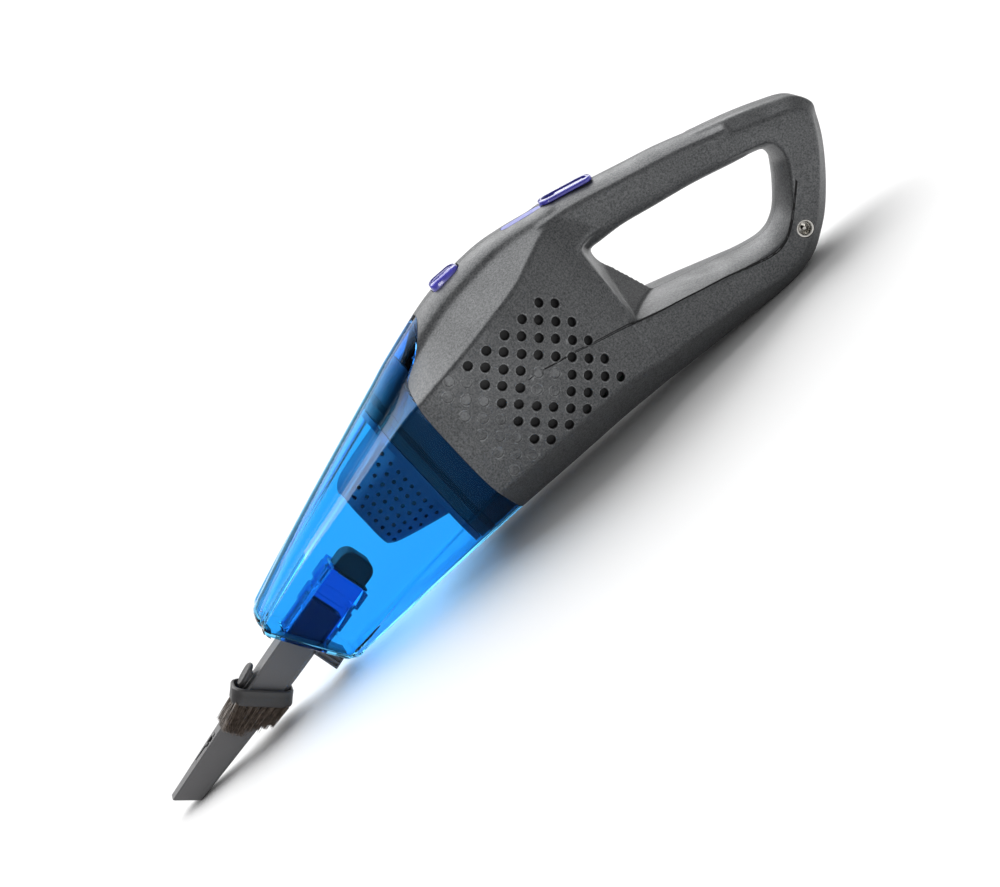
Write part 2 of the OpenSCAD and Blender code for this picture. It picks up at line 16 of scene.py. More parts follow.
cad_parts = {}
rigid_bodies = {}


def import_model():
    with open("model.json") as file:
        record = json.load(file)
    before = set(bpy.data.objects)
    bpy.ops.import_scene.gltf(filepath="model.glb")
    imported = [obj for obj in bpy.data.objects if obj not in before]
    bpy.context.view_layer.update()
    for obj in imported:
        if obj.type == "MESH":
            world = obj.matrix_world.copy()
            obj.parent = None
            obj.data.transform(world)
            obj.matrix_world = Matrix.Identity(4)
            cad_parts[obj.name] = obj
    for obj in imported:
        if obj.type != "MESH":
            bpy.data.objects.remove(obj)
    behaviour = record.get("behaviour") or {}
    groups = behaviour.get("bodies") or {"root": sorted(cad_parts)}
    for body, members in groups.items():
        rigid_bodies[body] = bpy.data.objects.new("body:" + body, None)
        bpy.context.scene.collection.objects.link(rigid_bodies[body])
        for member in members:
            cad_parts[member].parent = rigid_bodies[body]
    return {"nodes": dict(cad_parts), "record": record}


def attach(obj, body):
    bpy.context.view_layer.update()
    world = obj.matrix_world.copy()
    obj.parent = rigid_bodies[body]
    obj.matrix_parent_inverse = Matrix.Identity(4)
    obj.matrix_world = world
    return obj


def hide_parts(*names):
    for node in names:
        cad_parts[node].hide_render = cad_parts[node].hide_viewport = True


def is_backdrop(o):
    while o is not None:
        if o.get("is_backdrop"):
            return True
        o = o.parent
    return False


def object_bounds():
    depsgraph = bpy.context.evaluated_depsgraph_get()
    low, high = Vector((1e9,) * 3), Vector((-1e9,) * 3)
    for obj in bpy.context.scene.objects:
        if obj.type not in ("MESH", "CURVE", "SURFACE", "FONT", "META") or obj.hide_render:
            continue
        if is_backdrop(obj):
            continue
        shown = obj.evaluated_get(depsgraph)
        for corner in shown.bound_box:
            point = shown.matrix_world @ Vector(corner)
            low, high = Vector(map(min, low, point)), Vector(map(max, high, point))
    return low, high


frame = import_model()
cad_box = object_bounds()
record = frame["record"]
joints = {j["name"]: j for j in record["behaviour"]["joints"]}
print("CAD box", [[round(v, 4) for v in corner] for corner in cad_box])

# %% [markdown]
# ## The lie of the object
# The vacuum rests on its belly and on the tip of its tool, so the maker's frame is tipped by about one
# degree. The cup's slide runs along the maker's X axis and the rotor's pivot is a known point of it, so
# the record itself gives the matrix, and nothing is measured by eye.

# %% The maker's frame
MM = 0.001
rotor_point = Vector((15, 0, 56))
forward = Vector(joints["cup_slide"]["axis"])
lie = Matrix.Rotation(math.atan2(forward.z, -forward.x), 4, "Y")
settle = (Matrix.Translation(Vector(joints["rotor_spin"]["pos_m"])) @ lie @ Matrix.Scale(MM, 4)
          @ Matrix.Translation(-rotor_point))
print("tipped by", round(math.degrees(math.atan2(forward.z, -forward.x)), 3), "degrees")

# %% [markdown]
# ## Small tools
# An operator works on whatever is selected, so each helper first empties the selection. `grid_skin` is
# the one shape maker used for every flowing form: a grid primitive is laid over a list of rings, its
# side edges are merged and its ends are filled, which gives a closed skin with clean quads. A closed skin
# that comes out with its faces inward has a negative volume, and is turned.

# %% Selection and modifiers
def pick_none():
    if bpy.context.object and bpy.context.object.mode != "OBJECT":
        bpy.ops.object.mode_set(mode="OBJECT")
    bpy.ops.object.select_all(action="DESELECT")


def pick(*objects):
    pick_none()
    for o in objects:
        o.select_set(True)
    bpy.context.view_layer.objects.active = objects[0]
    return objects[0]


def modify(obj, kind, **settings):
    pick(obj)
    mod = obj.modifiers.new(kind.lower(), kind)
    for key, value in settings.items():
        setattr(mod, key, value)
    bpy.ops.object.modifier_apply(modifier=mod.name)
    return obj


def soften(obj, width, angle, segments=2):
    """Bevel the edges that turn by more than the angle"""
    return modify(obj, "BEVEL", width=width, segments=segments, limit_method="ANGLE", angle_limit=angle)


def combine(obj, other, how="DIFFERENCE"):
    modify(obj, "BOOLEAN", object=other, operation=how, solver="MANIFOLD")
    bpy.data.objects.remove(other)
    return obj


def join(objects, name):
    pick(*objects)
    if len(objects) > 1:
        bpy.ops.object.join()
    bpy.context.object.name = name
    return bpy.context.object


def copy_of(obj, name):
    twin = obj.copy()
    twin.data = obj.data.copy()
    twin.name = name
    bpy.context.collection.objects.link(twin)
    return twin


# %% Skins, tubes and blocks
def tidy_skin(obj, fill=True):
    pick(obj)
    bpy.ops.object.mode_set(mode="EDIT")
    bpy.ops.mesh.select_all(action="SELECT")
    bpy.ops.mesh.remove_doubles(threshold=0.001)
    if fill:
        bpy.ops.mesh.fill_holes(sides=0)
        bpy.ops.mesh.select_all(action="SELECT")
    bpy.ops.mesh.normals_make_consistent(inside=False)
    bpy.ops.object.mode_set(mode="OBJECT")
    obj.data.calc_loop_triangles()
    corners = [[obj.data.vertices[i].co for i in t.vertices] for t in obj.data.loop_triangles]
    if sum(a.dot(b.cross(c)) for a, b, c in corners) < 0:
        obj.data.flip_normals()
    return obj


def grid_skin(name, rings, fill=True):
    rings = [[*r, r[0]] for r in rings]
    pick_none()
    bpy.ops.mesh.primitive_grid_add(x_subdivisions=len(rings[0]) - 1, y_subdivisions=len(rings) - 1)
    obj = bpy.context.object
    obj.name = name
    obj.data.vertices.foreach_set("co", np.array(rings, float).reshape(-1))
    obj.data.update()
    return tidy_skin(obj, fill)


def slab(name, outline, y0, y1):
    """A flat outline in X and Z, given thickness along Y"""
    return grid_skin(name, [[(x, y, z) for x, z in outline] for y in (y0, y1)])


def block(name, x, y, z, bevel=0.0):
    """A box between two values on each axis, with rounded edges if asked"""
    pick_none()
    bpy.ops.mesh.primitive_cube_add(size=1, location=[(a[0] + a[1]) / 2 for a in (x, y, z)])
    obj = bpy.context.object
    obj.name = name
    bpy.ops.transform.resize(value=[a[1] - a[0] for a in (x, y, z)])
    bpy.ops.object.transform_apply(location=True, rotation=True, scale=True)
    if bevel:
        modify(obj, "BEVEL", width=bevel, segments=3, limit_method="NONE")
    return obj


def barrel(name, start, end, radius, radius_end=None, sides=32):
    """A round bar or cone from one point to another"""
    start, end = Vector(start), Vector(end)
    along = end - start
    pick_none()
    bpy.ops.mesh.primitive_cone_add(vertices=sides, radius1=radius, depth=along.length,
                                    radius2=radius if radius_end is None else radius_end)
    obj = bpy.context.object
    obj.name = name
    turn = along.to_track_quat("Z", "Y").to_matrix().to_4x4()
    obj.data.transform(Matrix.Translation((start + end) / 2) @ turn)
    return obj


def point_mesh(name, points, faces=(), wrap=False):
    """A mesh of given points and faces, or the hull that wraps the points"""
    pick_none()
    bpy.ops.mesh.primitive_plane_add(size=1)
    obj = bpy.context.object
    obj.name = name
    mesh = bpy.data.meshes.new(name)
    mesh.from_pydata([tuple(p) for p in points], [], faces)
    obj.data = mesh
    pick(obj)
    bpy.ops.object.mode_set(mode="EDIT")
    bpy.ops.mesh.select_all(action="SELECT")
    if wrap:
        bpy.ops.mesh.convex_hull()
    bpy.ops.mesh.normals_make_consistent(inside=False)
    bpy.ops.object.mode_set(mode="OBJECT")
    return obj


# %% Smooth curves through chosen points
def smooth(points, steps):
    """Points along a smooth curve through the given ones"""
    p = np.array(points, float)
    ends = np.vstack([2 * p[0] - p[1], p, 2 * p[-1] - p[-2]])
    out = []
    for a, b, c, d in zip(ends, ends[1:], ends[2:], ends[3:]):
        for t in np.arange(steps) / steps:
            out.append(0.5 * (2 * b + (c - a) * t + (2 * a - 5 * b + 4 * c - d) * t * t
                              + (3 * b - a - 3 * c + d) * t ** 3))
    return np.array(out + [p[-1]])


def arc(a, b, c, d, count):
    """Points of a Bezier curve, without its last one"""
    a, b, c, d = (np.array(v, float) for v in (a, b, c, d))
    t = (np.arange(count) / count)[:, None]
    return list(a * (1 - t) ** 3 + 3 * b * t * (1 - t) ** 2 + 3 * c * t * t * (1 - t) + d * t ** 3)


def straight(a, b, count, bulge=0.0):
    """Points from a to b without b, bowed out by the bulge"""
    a, b = np.array(a, float), np.array(b, float)
    n = np.array([b[1] - a[1], a[0] - b[0]]) / max(np.linalg.norm(b - a), 1e-9)
    return [a + (b - a) * t + n * bulge * 4 * t * (1 - t) for t in np.arange(count) / count]


# %% [markdown]
# ## Sections
# A flowing body is drawn as sections at stations along its length, as a pattern maker would cut them from
# board. Only half of each is given, by a few corners with their roundings, and the other half is its mirror.

# %% Sections
def mid(a, b, f):
    """The point or number that lies the fraction f of the way from a to b"""
    return a + (b - a) * f


def profile(corners, crown, count=6):
    """Half of a section from its low middle to its top middle. Corners are (half-width, height, rounding)
    and the crown is a Bezier curve's last two handles and its end"""
    path = [np.array(c[:2], float) for c in corners]
    out = []
    here = path[0]
    for a, p, b, c in zip(path, path[1:], path[2:] + [np.array(crown[0], float)], corners[1:]):
        before, after = np.linalg.norm(p - a), np.linalg.norm(b - p)
        d = min(c[2], 0.45 * before, 0.45 * after)
        start, end = p + (a - p) * d / before, p + (b - p) * d / after
        out += straight(here, start, count, c[3] if len(c) > 3 else 0)
        out += arc(start, mid(start, p, 0.6), mid(end, p, 0.6), end, count)
        here = end
    return out + arc(here, *crown, 2 * count) + [np.array(crown[-1], float)]


def mirrored(half, x):
    """A full ring from half a section: down the left side, then up the right"""
    return [(x, -w, z) for w, z in half] + [(x, w, z) for w, z in half[-2:0:-1]]


def station_ring(s, inset=0.0):
    """One station of the barrel or the cup, drawn in by the inset"""
    x, zb, wb, zl, wl, zu, wu, zs, ws, zt = s
    t = inset
    return mirrored(profile(
        [(0, zb + t), (wb - 0.6 * t, zb + t, 3), (wl - t, zl + 0.3 * t, 1.4),
         (wu - t, zu - 0.3 * t, 1.4, 1.9), (ws - 0.5 * t, zs - t, 2)],
        [(0.86 * ws, mid(zs, zt, 0.62) - t), (0.55 * ws, zt - t), (0, zt - t)]), x)


# x, base height and half-width, chine, shoulder, foot of the spine, crown
cup_stations = smooth([
    [-142, 3.2, 8.5, 7.5, 18, 49, 23, 49.4, 13, 51],
    [-100, 4.5, 14, 12, 25, 62.8, 30, 63.8, 15, 68.2],
    [-60, 5.6, 18, 20, 33.5, 73.4, 36, 75.6, 17, 82.7],
    [-15, 6.8, 22, 26.5, 42.5, 85.4, 42.5, 89, 18, 98.1],
    [0, 7, 23, 27, 44, 87.6, 44, 94.4, 18, 103.3],
    [31, 6.5, 24, 26.7, 45.8, 91.6, 45.7, 104.4, 18, 111.8],
    [50, 6.1, 24, 26.4, 45.8, 94.6, 45, 107.6, 18, 114.4]], 14)
body_stations = smooth([
    [-15, 6.8, 22, 26.5, 42.5, 85.4, 42.5, 89, 18, 98.1],
    [0, 7, 23, 27, 44, 87.6, 44, 94.4, 18, 103.3],
    [31, 6.5, 24, 26.7, 45.8, 91.6, 45.7, 104.4, 18, 111.8],
    [50, 6.1, 24, 26.4, 45.8, 94.6, 45, 107.6, 18, 114.4],
    [70, 5, 22, 24.5, 42.3, 97.2, 40, 108.8, 16.5, 115],
    [85, 3.5, 20, 21.7, 37.8, 100.6, 31.5, 108.4, 15.5, 112.8],
    [100, 2, 18, 17.7, 33.8, 102.2, 20, 105.6, 14.5, 109.6],
    [112, 0.7, 17, 15.3, 31.8, 99, 17, 102.6, 13.5, 107.2],
    [124, 2, 14, 15, 28, 88, 13, 92, 10, 96]], 14)

# x, middle height, half-height, half-width
grip_stations = smooth([
    [98, 94.4, 15.4, 18], [115, 91, 15.7, 17], [130, 88.1, 14.1, 16], [150, 83, 13.4, 15.8],
    [170, 77.9, 12.8, 15.5], [190, 71.4, 12.1, 15], [200, 68.4, 11.8, 15]], 8)

# Outer point, inner point, outer half-width, half-width, outer bevel depth, inner crown depth
tail_stations = smooth([
    [186, 84.8, 186, 60.4, 7, 14.5, 7, 6], [206, 78.2, 202, 56, 7.5, 15.5, 6.5, 5],
    [222, 71.8, 208, 53.5, 8, 16.5, 6.5, 5], [235.5, 65, 209.7, 49.5, 8.5, 17, 6.5, 4.5],
    [241.2, 56.5, 209.3, 45, 9, 17, 6.5, 4], [239.6, 50.5, 207.5, 41.5, 9, 17, 6.5, 4],
    [234, 38.5, 203.5, 35.5, 9.5, 17.5, 7, 4], [224.5, 24.5, 198.5, 29.5, 10, 17.5, 7, 4],
    [213, 11, 194, 25, 10, 17.5, 7, 4], [203, 3, 190, 22.5, 10.5, 18, 7, 4.5],
    [193.5, -2.4, 186, 21, 11, 19, 7, 5], [181, -5.2, 179.5, 20.6, 11.5, 20.4, 7.8, 5],
    [168, -5.3, 168, 23, 12, 23, 9.6, 5], [156, -4.2, 156, 27, 12.8, 25.6, 11.5, 5],
    [140, -2.4, 140, 32, 14, 28.5, 13, 4.5], [120, -0.2, 120, 38.5, 16, 31, 14.5, 4.5],
    [100, 2, 100, 46.5, 17.5, 33.2, 15.2, 5]], 8)


def grip_ring(s):
    x, z, a, w = s
    return mirrored(profile([(0, z - a), (0.72 * w, z - 0.88 * a, 9), (w, z - 0.25 * a, 5),
                             (w, z + 0.68 * a, 1.2)],
                            [(0.62 * w, z + 0.9 * a), (0.35 * w, z + a), (0, z + a)]), x)


def tail_ring(s):
    ox, oz, ix, iz, w0, w1, depth, crown = s
    span = math.hypot(ix - ox, iz - oz)
    half = profile([(0, 0), (w0, 0, 1.5), (w1, depth, 1.0), (w1, span - crown, 1.0, 0.3)],
                   [(0.7 * w1, span - 0.5 * crown), (0.4 * w1, span), (0, span)])
    full = [(-w, h) for w, h in half] + [(w, h) for w, h in half[-2:0:-1]]
    return [(ox + (ix - ox) * h / span, y, oz + (iz - oz) * h / span) for y, h in full]


print(len(body_stations), "body rings of", len(station_ring(body_stations[0])), "points,",
      len(tail_stations), "tail rings of", len(tail_ring(tail_stations[0])))

# %% [markdown]
# ## The body's outer form
# A body like this is moulded in two halves, but it is styled as one lump: a tapering barrel with a raised
# spine, a grip with a D-shaped section and a band that runs round the tail and back along the belly. The
# V-shaped hollow ahead of the grip is cut out of the barrel, and then the three lofts are united.

# %% Barrel, grip and tail band
def hollow_wedge(side, back):
    """One side of the V-shaped hollow: its edge runs up the middle, its mouth is on the flank"""
    wall = ((111, 0, 80), (111, 0, 69), (124.7, 0, 30), (99, 50, 90), (98, 50, 18))
    points = [(x + shift - back, side * y, z) for shift in (0, 30) for x, y, z in wall]
    return point_mesh("wedge", points, wrap=True)


form = grid_skin("housing_form", [station_ring(s) for s in body_stations])
for side in (-1, 1):
    combine(form, hollow_wedge(side, 0))
combine(form, grid_skin("grip_form", [grip_ring(s) for s in grip_stations]), "UNION")
combine(form, grid_skin("tail_form", [tail_ring(s) for s in tail_stations]), "UNION")
print("united form:", len(form.data.polygons), "faces")

# %% [markdown]
# Where two lofts meet, the real mould has a soft fillet. A voxel remesh turns the union into one even net
# of quads, and a little smoothing breaks the corners. The root of the grip is smoothed much longer, because
# the hand hole is well rounded there.

# %% One even skin
modify(form, "REMESH", mode="VOXEL", voxel_size=0.95)
modify(form, "SMOOTH", factor=0.5, iterations=2)
ROOT_X, ROOT_Z, ROOT_REACH, ROOT_FADE, ROOT_TOP = 112, 75, 14, 6, 88
corner = form.vertex_groups.new(name="grip_root")
for v in form.data.vertices:
    away = math.hypot(v.co.x - ROOT_X, v.co.z - ROOT_Z)
    if away < ROOT_REACH and v.co.z < ROOT_TOP:
        corner.add([v.index], min(1.0, (ROOT_REACH - away) / ROOT_FADE), "REPLACE")
modify(form, "SMOOTH", factor=0.5, iterations=60, vertex_group="grip_root")
skin_tree = BVHTree.FromObject(form, bpy.context.evaluated_depsgraph_get())
print("even skin:", len(form.data.polygons), "faces")

# %% [markdown]
# ## Openings in the body
# The cup's edge meets the body along one swung line: upright on the flank, then back over the crown in a
# tongue. Both pieces are cut with the same line, a hair apart, so the joint stays an even dark gap.

# %% The seam line
seam = smooth([(1.5, -6), (1, 6), (-0.5, 11.5), (-2.5, 23.7), (-3.9, 34), (-4.4, 46), (-4.5, 62), (-4.4, 76),
               (-3.5, 86), (-1.5, 91.2), (1.2, 93.7), (5, 95.6), (10, 98.2), (15, 101.7), (20, 105.9),
               (25, 110), (29.5, 113.6), (35, 118)], 5)


def seam_block(shift, ahead):
    edge = [(x + shift, z) for x, z in seam]
    end = -190 if ahead else 190
    return slab("seam_block", edge + [(end, 118), (end, -6)], -70, 70)


combine(form, seam_block(0.1, True))
print("seam cut at", round(min(x for x, z in seam), 1), "to", round(max(x for x, z in seam), 1))

# %% [markdown]
# The button and the lens each drop into a pocket with straight walls. The switch slides over a shallow
# seat, long enough for its travel, with a slot for its stem. `pad` builds any rounded plate from a stack of
# outlines, so a pocket, a rim and a domed cap are all the same recipe.

# %% Rounded plates
def rounded(length, width, radius, count=8):
    radius = min(radius, length / 2 - 0.01, width / 2 - 0.01)
    out = []
    for k, (sx, sy) in enumerate(((1, 1), (-1, 1), (-1, -1), (1, -1))):
        for i in range(count + 1):
            a = math.pi / 2 * (k + i / count)
            out.append((sx * (length / 2 - radius) + radius * math.cos(a),
                        sy * (width / 2 - radius) + radius * math.sin(a)))
    return out


def pad(name, length, width, radius, levels, place=Matrix(), bow=0.0):
    """A stack of rounded outlines, each drawn in by its inset at its height. Bow drops the ends"""
    rings = []
    for inset, z in levels:
        rings.append([(x, y, z - bow * (x / length * 2) ** 2)
                      for x, y in rounded(length - 2 * inset, width - 2 * inset, max(radius - inset, 0.4))])
    obj = grid_skin(name, rings)
    obj.data.transform(place)
    return obj


def patch(x, z, tilt):
    return Matrix.Translation((x, 0, z)) @ Matrix.Rotation(math.radians(tilt), 4, "Y")


button_place, lens_place, knob_place = patch(48.5, 114.2, 2), patch(96, 110.4, 11.8), patch(121, 104.7, 14.6)
combine(form, pad("well", 17.8, 12.8, 4.4, [(0, -7), (0, -0.4), (-0.5, 0.3), (-0.5, 9)], button_place))
combine(form, pad("well", 23.4, 7.6, 3.4, [(0, -1.8), (0, 9)], lens_place))
combine(form, pad("seat", 36.4, 13.2, 5, [(0, -0.1), (0, 9)], knob_place @ Matrix.Translation((-3, 0, 0))))
slot = block("slot", (-8.2, 2.2), (-2.4, 2.4), (-5, 2))
slot.data.transform(knob_place)
combine(form, slot)
print("two pockets, a seat and its slot cut")

# %% [markdown]
# Air from the fan leaves through a diamond of vent holes. The mould marks the same grid further towards
# the cup, and in the middle of the diamond, but leaves those places blind: shallow round dimples.

# %% Vents and dimples
def nearest_y(x, z, side):
    spot = skin_tree.ray_cast(Vector((x, side * 90, z)), Vector((0, -side, 0)))[0]
    return spot.y if spot else 0.0


def outward(x, z, side):
    """The skin's outward direction there, from its slope over two millimetres each way"""
    slope_x = (nearest_y(x + 2, z, side) - nearest_y(x - 2, z, side)) / 4
    slope_z = (nearest_y(x, z + 2, side) - nearest_y(x, z - 2, side)) / 4
    return side * Vector((-slope_x, 1, -slope_z)).normalized()


BLIND_INSIDE = {(5, 2), (3, 2), (4, 1), (4, 2)}
cutters, vent_spots = [], []
opened = blind = 0
for side in (-1, 1):
    for row in range(10):
        for column in range(-2 + row % 2, 5):
            x, z = (27.2 if row % 2 else 32.9) + 11.45 * column, 30.2 + 6.16 * row - 0.57 * column
            y = nearest_y(x, z, side)
            vent_spots.append((x, z))
            shut = column < 0 or (row, column) in BLIND_INSIDE
            blind, opened = blind + shut, opened + (not shut)
            depth = 0.5 if shut else 9
            spot, out = Vector((x, y, z)), outward(x, z, side)
            hole = barrel("hole", spot + out * 1.6, spot - out * depth, 2.4, sides=24)
            mouth = barrel("mouth", spot + out * 1.2, spot - out * 0.42, 4.0, 2.3, sides=24)
            cutters += [combine(hole, mouth, "UNION")]
combine(form, join(cutters, "vents"))
print(opened, "vents and", blind, "blind dimples")

# %% [markdown]
# A fine groove starts beside the vents, runs back along the bar's ridge and climbs the tail. It is cut
# with a thin round tube that is laid on the skin by casting rays at it. The tube starts thin and swells.

# %% The styling groove
groove_path = smooth([(44, 60.6), (50, 60), (60, 56.8), (70, 53.8), (80, 49.6), (90, 45.6), (100, 41.6),
                      (115, 36), (130, 31.1), (150, 24.5), (165, 18.8), (174, 15.6), (181, 14.6),
                      (188, 16.2), (195, 20.5), (202, 27), (209, 34)], 8)
for side in (-1, 1):
    rings = []
    for i, (x, z) in enumerate(groove_path):
        y, r = nearest_y(x, z, side), min(0.85, 0.3 + 0.012 * i)
        rings.append([(x, y + r * math.cos(a), z + r * math.sin(a)) for a in np.arange(8) * math.tau / 8])
    combine(form, grid_skin("groove", rings))
print("groove of", len(groove_path), "steps on each side")

# %% [markdown]
# ## The hollow inside
# Inside the outer skin the body is a shell of about 2.4 mm. The hollow follows the same sections, moved in
# by the wall, but the round bosses for the screws are left standing in it.

# %% Hollow, bosses and screw wells
WALL = 2.4
screws = [(30, 98.6, 3.3), (14, 12.7, 3.5), (101, 96, 4), (204, 66, 4), (116, 12, 4), (172, 6, 4)]
coarse = list(body_stations[::7]) + [body_stations[-1]]
room = grid_skin("room", [station_ring(s, WALL) for s in coarse])
for side in (-1, 1):
    combine(room, hollow_wedge(side, WALL * 1.2))
grip_rings = [grip_ring((x, z, a - WALL, w - WALL)) for x, z, a, w in grip_stations[::4]]
combine(room, grid_skin("grip_room", grip_rings), "UNION")
inner_tail = []
for ox, oz, ix, iz, w0, w1, depth, crown in tail_stations[::4]:
    lean = WALL / math.hypot(ix - ox, iz - oz)
    inner_tail.append((mid(ox, ix, lean), mid(oz, iz, lean), mid(ix, ox, lean), mid(iz, oz, lean),
                       w0 - 0.4 * WALL, w1 - WALL, depth, crown))
combine(room, grid_skin("tail_room", [tail_ring(s) for s in inner_tail]), "UNION")
bosses = [barrel("boss", (x, -60, z), (x, 60, z), r, sides=20) for x, z, r in screws]
bosses += [barrel("jack_boss", (197, -30, 12.5), (197, -4, 12.5), 6.4, sides=24)]
for boss in bosses:
    combine(room, boss)
combine(form, room)
for x, z, r in screws:
    combine(form, barrel("well", (x, 5.8, z), (x, 60, z), 2.9, sides=24))
    combine(form, barrel("bore", (x, -13, z), (x, 7, z), 1.6, sides=16))
combine(form, barrel("jack_hole", (197, -30, 12.5), (197, -3, 12.5), 4.65, sides=40))
print("hollow body:", len(form.data.polygons), "faces")

# %% [markdown]
# The two halves part on the middle plane. The cut leaves a hairline between them, which is what the
# eye reads as a parting line along the spine, inside the hand hole and down the tail.

# %% Right and left halves
PARTING = 0.16
left_half = copy_of(form, "left_half")
right_half = form
right_half.name = "right_half"
combine(right_half, block("cut", (-60, 260), (-PARTING, 90), (-20, 140)))
combine(left_half, block("cut", (-60, 260), (-90, PARTING), (-20, 140)))
print([len(o.data.polygons) for o in (right_half, left_half)], "faces in the halves")

# %% [markdown]
# Behind the vents each half holds a sheet of foam that quietens the exhaust air. It takes the dark inside
# finish, which is painted shade, so the holes look black and nothing inside can be seen through them.

# %% Exhaust foam
FOAM_NEAR, FOAM_FAR = 3.3, 4.3
for half, side in ((right_half, -1), (left_half, 1)):
    sheets = []
    for back in (FOAM_NEAR, FOAM_FAR):
        sheets.append([[(x, nearest_y(x, z, side) - side * back, z) for z in np.linspace(27, 91, 12)]
                       for x in np.linspace(22, 90 - back, 12)])
    rim = [sheets[0][i] + sheets[1][i][::-1] for i in range(12)]
    join([half, grid_skin("foam", rim)], half.name)
print("foam laid behind", opened, "vents")

# %% [markdown]
# ## The clear cup
# The cup carries the body's own lines forward and ends in a slanted, flat nose with soft corners. Its
# rings run along the same sections, but each one stops on the nose plane, and the last few turn over
# the edge as a fillet, so light bends through one clean wall.

# %% Nose plane and cup skins
nose_low, nose_high = np.array([-111.5, 0, 4.0]), np.array([-138, 0, 53.0])
nose_up = (nose_high - nose_low) / np.linalg.norm(nose_high - nose_low)
nose_out = np.array([-nose_up[2], 0, nose_up[0]])
SIDEWAYS = np.array([0, 1.0, 0])


CUP_REAR, CUP_RINGS = 49.0, 46


def cup_point(table, k, x):
    """The k-th point of the cup's section at x"""
    xs = table[:, 0, 0]
    return x, np.interp(x, xs, table[:, k, 1]), np.interp(x, xs, table[:, k, 2])


def cup_skin(name, inset, radius):
    """A closed wedge, drawn in by the inset all round"""
    table = np.array([station_ring(s, inset) for s in cup_stations])
    count = table.shape[1]
    rings = []
    for f in np.linspace(0, 1, CUP_RINGS):
        x = np.full(count, CUP_REAR)
        for attempt in range(4):
            z = np.array([cup_point(table, k, x[k])[2] for k in range(count)])
            stop = nose_low[0] + (-radius - inset - (z - nose_low[2]) * nose_out[2]) / nose_out[0]
            x = mid(CUP_REAR, stop, f)
        rings.append([cup_point(table, k, x[k]) for k in range(count)])
    last = np.array(rings[-1])
    flat = np.column_stack([last @ SIDEWAYS, last @ nose_up])
    along = np.roll(flat, -1, 0) - np.roll(flat, 1, 0)
    inward = np.column_stack([along[:, 1], -along[:, 0]]) / np.linalg.norm(along, axis=1)[:, None]
    if np.sum(inward * (flat.mean(0) - flat)) < 0:
        inward = -inward
    for a in np.arange(1, 8) / 7 * math.pi / 2:
        turned = flat + inward * radius * (1 - math.cos(a))
        lift = last + nose_out * radius * math.sin(a)
        move = turned - flat
        rings.append(lift + np.outer(move[:, 0], SIDEWAYS) + np.outer(move[:, 1], nose_up))
    return grid_skin(name, rings)


def tool_matrix(at=0.0, lean=0.0):
    """The tool's own frame: X runs up the tool to the rear, Z across its height"""
    return (Matrix.Translation((-131, 0, 27)) @ Matrix.Rotation(math.radians(-12.2), 4, "Y")
            @ Matrix.Translation((at, 0, 0)) @ Matrix.Rotation(math.radians(lean), 4, "Y"))


def tool_block(name, x, y, z, bevel=0.0):
    obj = block(name, x, y, z, bevel)
    obj.data.transform(tool_matrix())
    return obj


CUP_WALL = 2.0
cup = cup_skin("cup_wall", 0, 5.5)
combine(cup, cup_skin("cup_room", CUP_WALL, 4.0))
combine(cup, seam_block(-0.16, False))
combine(cup, tool_block("port", (-20, 20), (-8.8, 8.8), (-11.4, 11.4)))
print("cup:", len(cup.data.polygons), "faces")

# %% [markdown]
# A square duct runs back from the port and holds the tool. It is clear too, steps out to a thicker rim
# at its inner end, and carries the ears of the rubber flap that keeps dust in when the motor stops.

# %% Duct and flap
duct = tool_block("inlet_duct", (-12, 44), (-8.7, 8.7), (-11.3, 11.3), 0.9)
combine(duct, tool_block("step", (20, 31), (-9.5, 9.5), (-12.1, 12.1), 0.7), "UNION")
combine(duct, tool_block("step", (34, 43.6), (-10.1, 10.1), (-12.7, 12.7), 0.7), "UNION")
for side in (-1, 1):
    combine(duct, tool_block("ear", (38, 46.8), sorted((side * 7.2, side * 8.7)), (6.8, 12.5), 0.3), "UNION")
combine(duct, tool_block("bore", (-14, 60), (-6.9, 6.9), (-9.5, 9.5)))
below, above = nose_low - 40 * nose_up, nose_high + 40 * nose_up
trim = (below - 0.02 * nose_out, above - 0.02 * nose_out, above + 60 * nose_out, below + 60 * nose_out)
combine(duct, slab("nose_trim", [(p[0], p[2]) for p in trim], -30, 30))
quarter_turn = np.arange(9) / 8 * 1.57
side_view = [(44.4, -9.6), (51, -9.6)]
side_view += [(51 + 6 * math.sin(a), -3.6 - 6 * math.cos(a)) for a in quarter_turn[1:]]
side_view += [(51 + 6 * math.cos(a), 3.6 + 6 * math.sin(a)) for a in quarter_turn] + [(44.4, 9.6)]
flap = slab("flap_rubber", side_view, -6.8, 6.8)
soften(flap, 0.9, 0.9, 3)
flap.data.transform(tool_matrix())
combine(flap, tool_block("lip", (44.3, 45.4), (-8.4, 8.4), (-11.2, 6.4), 0.3), "UNION")
print("duct and flap made")

# %% [markdown]
# The cup plugs over a short dark spigot on the body. A soft black seal sits in its groove, which is why
# a black band shows through the blue just ahead of the joint.

# %% Spigot and seal
def cup_slice(name, inset, x0, x1, count=12):
    """A length of the cup's own form, drawn in by the inset"""
    table = np.array([station_ring(s, inset) for s in cup_stations])
    return grid_skin(name, [[cup_point(table, k, x) for k in range(table.shape[1])]
                            for x in np.linspace(x0, x1, count)])


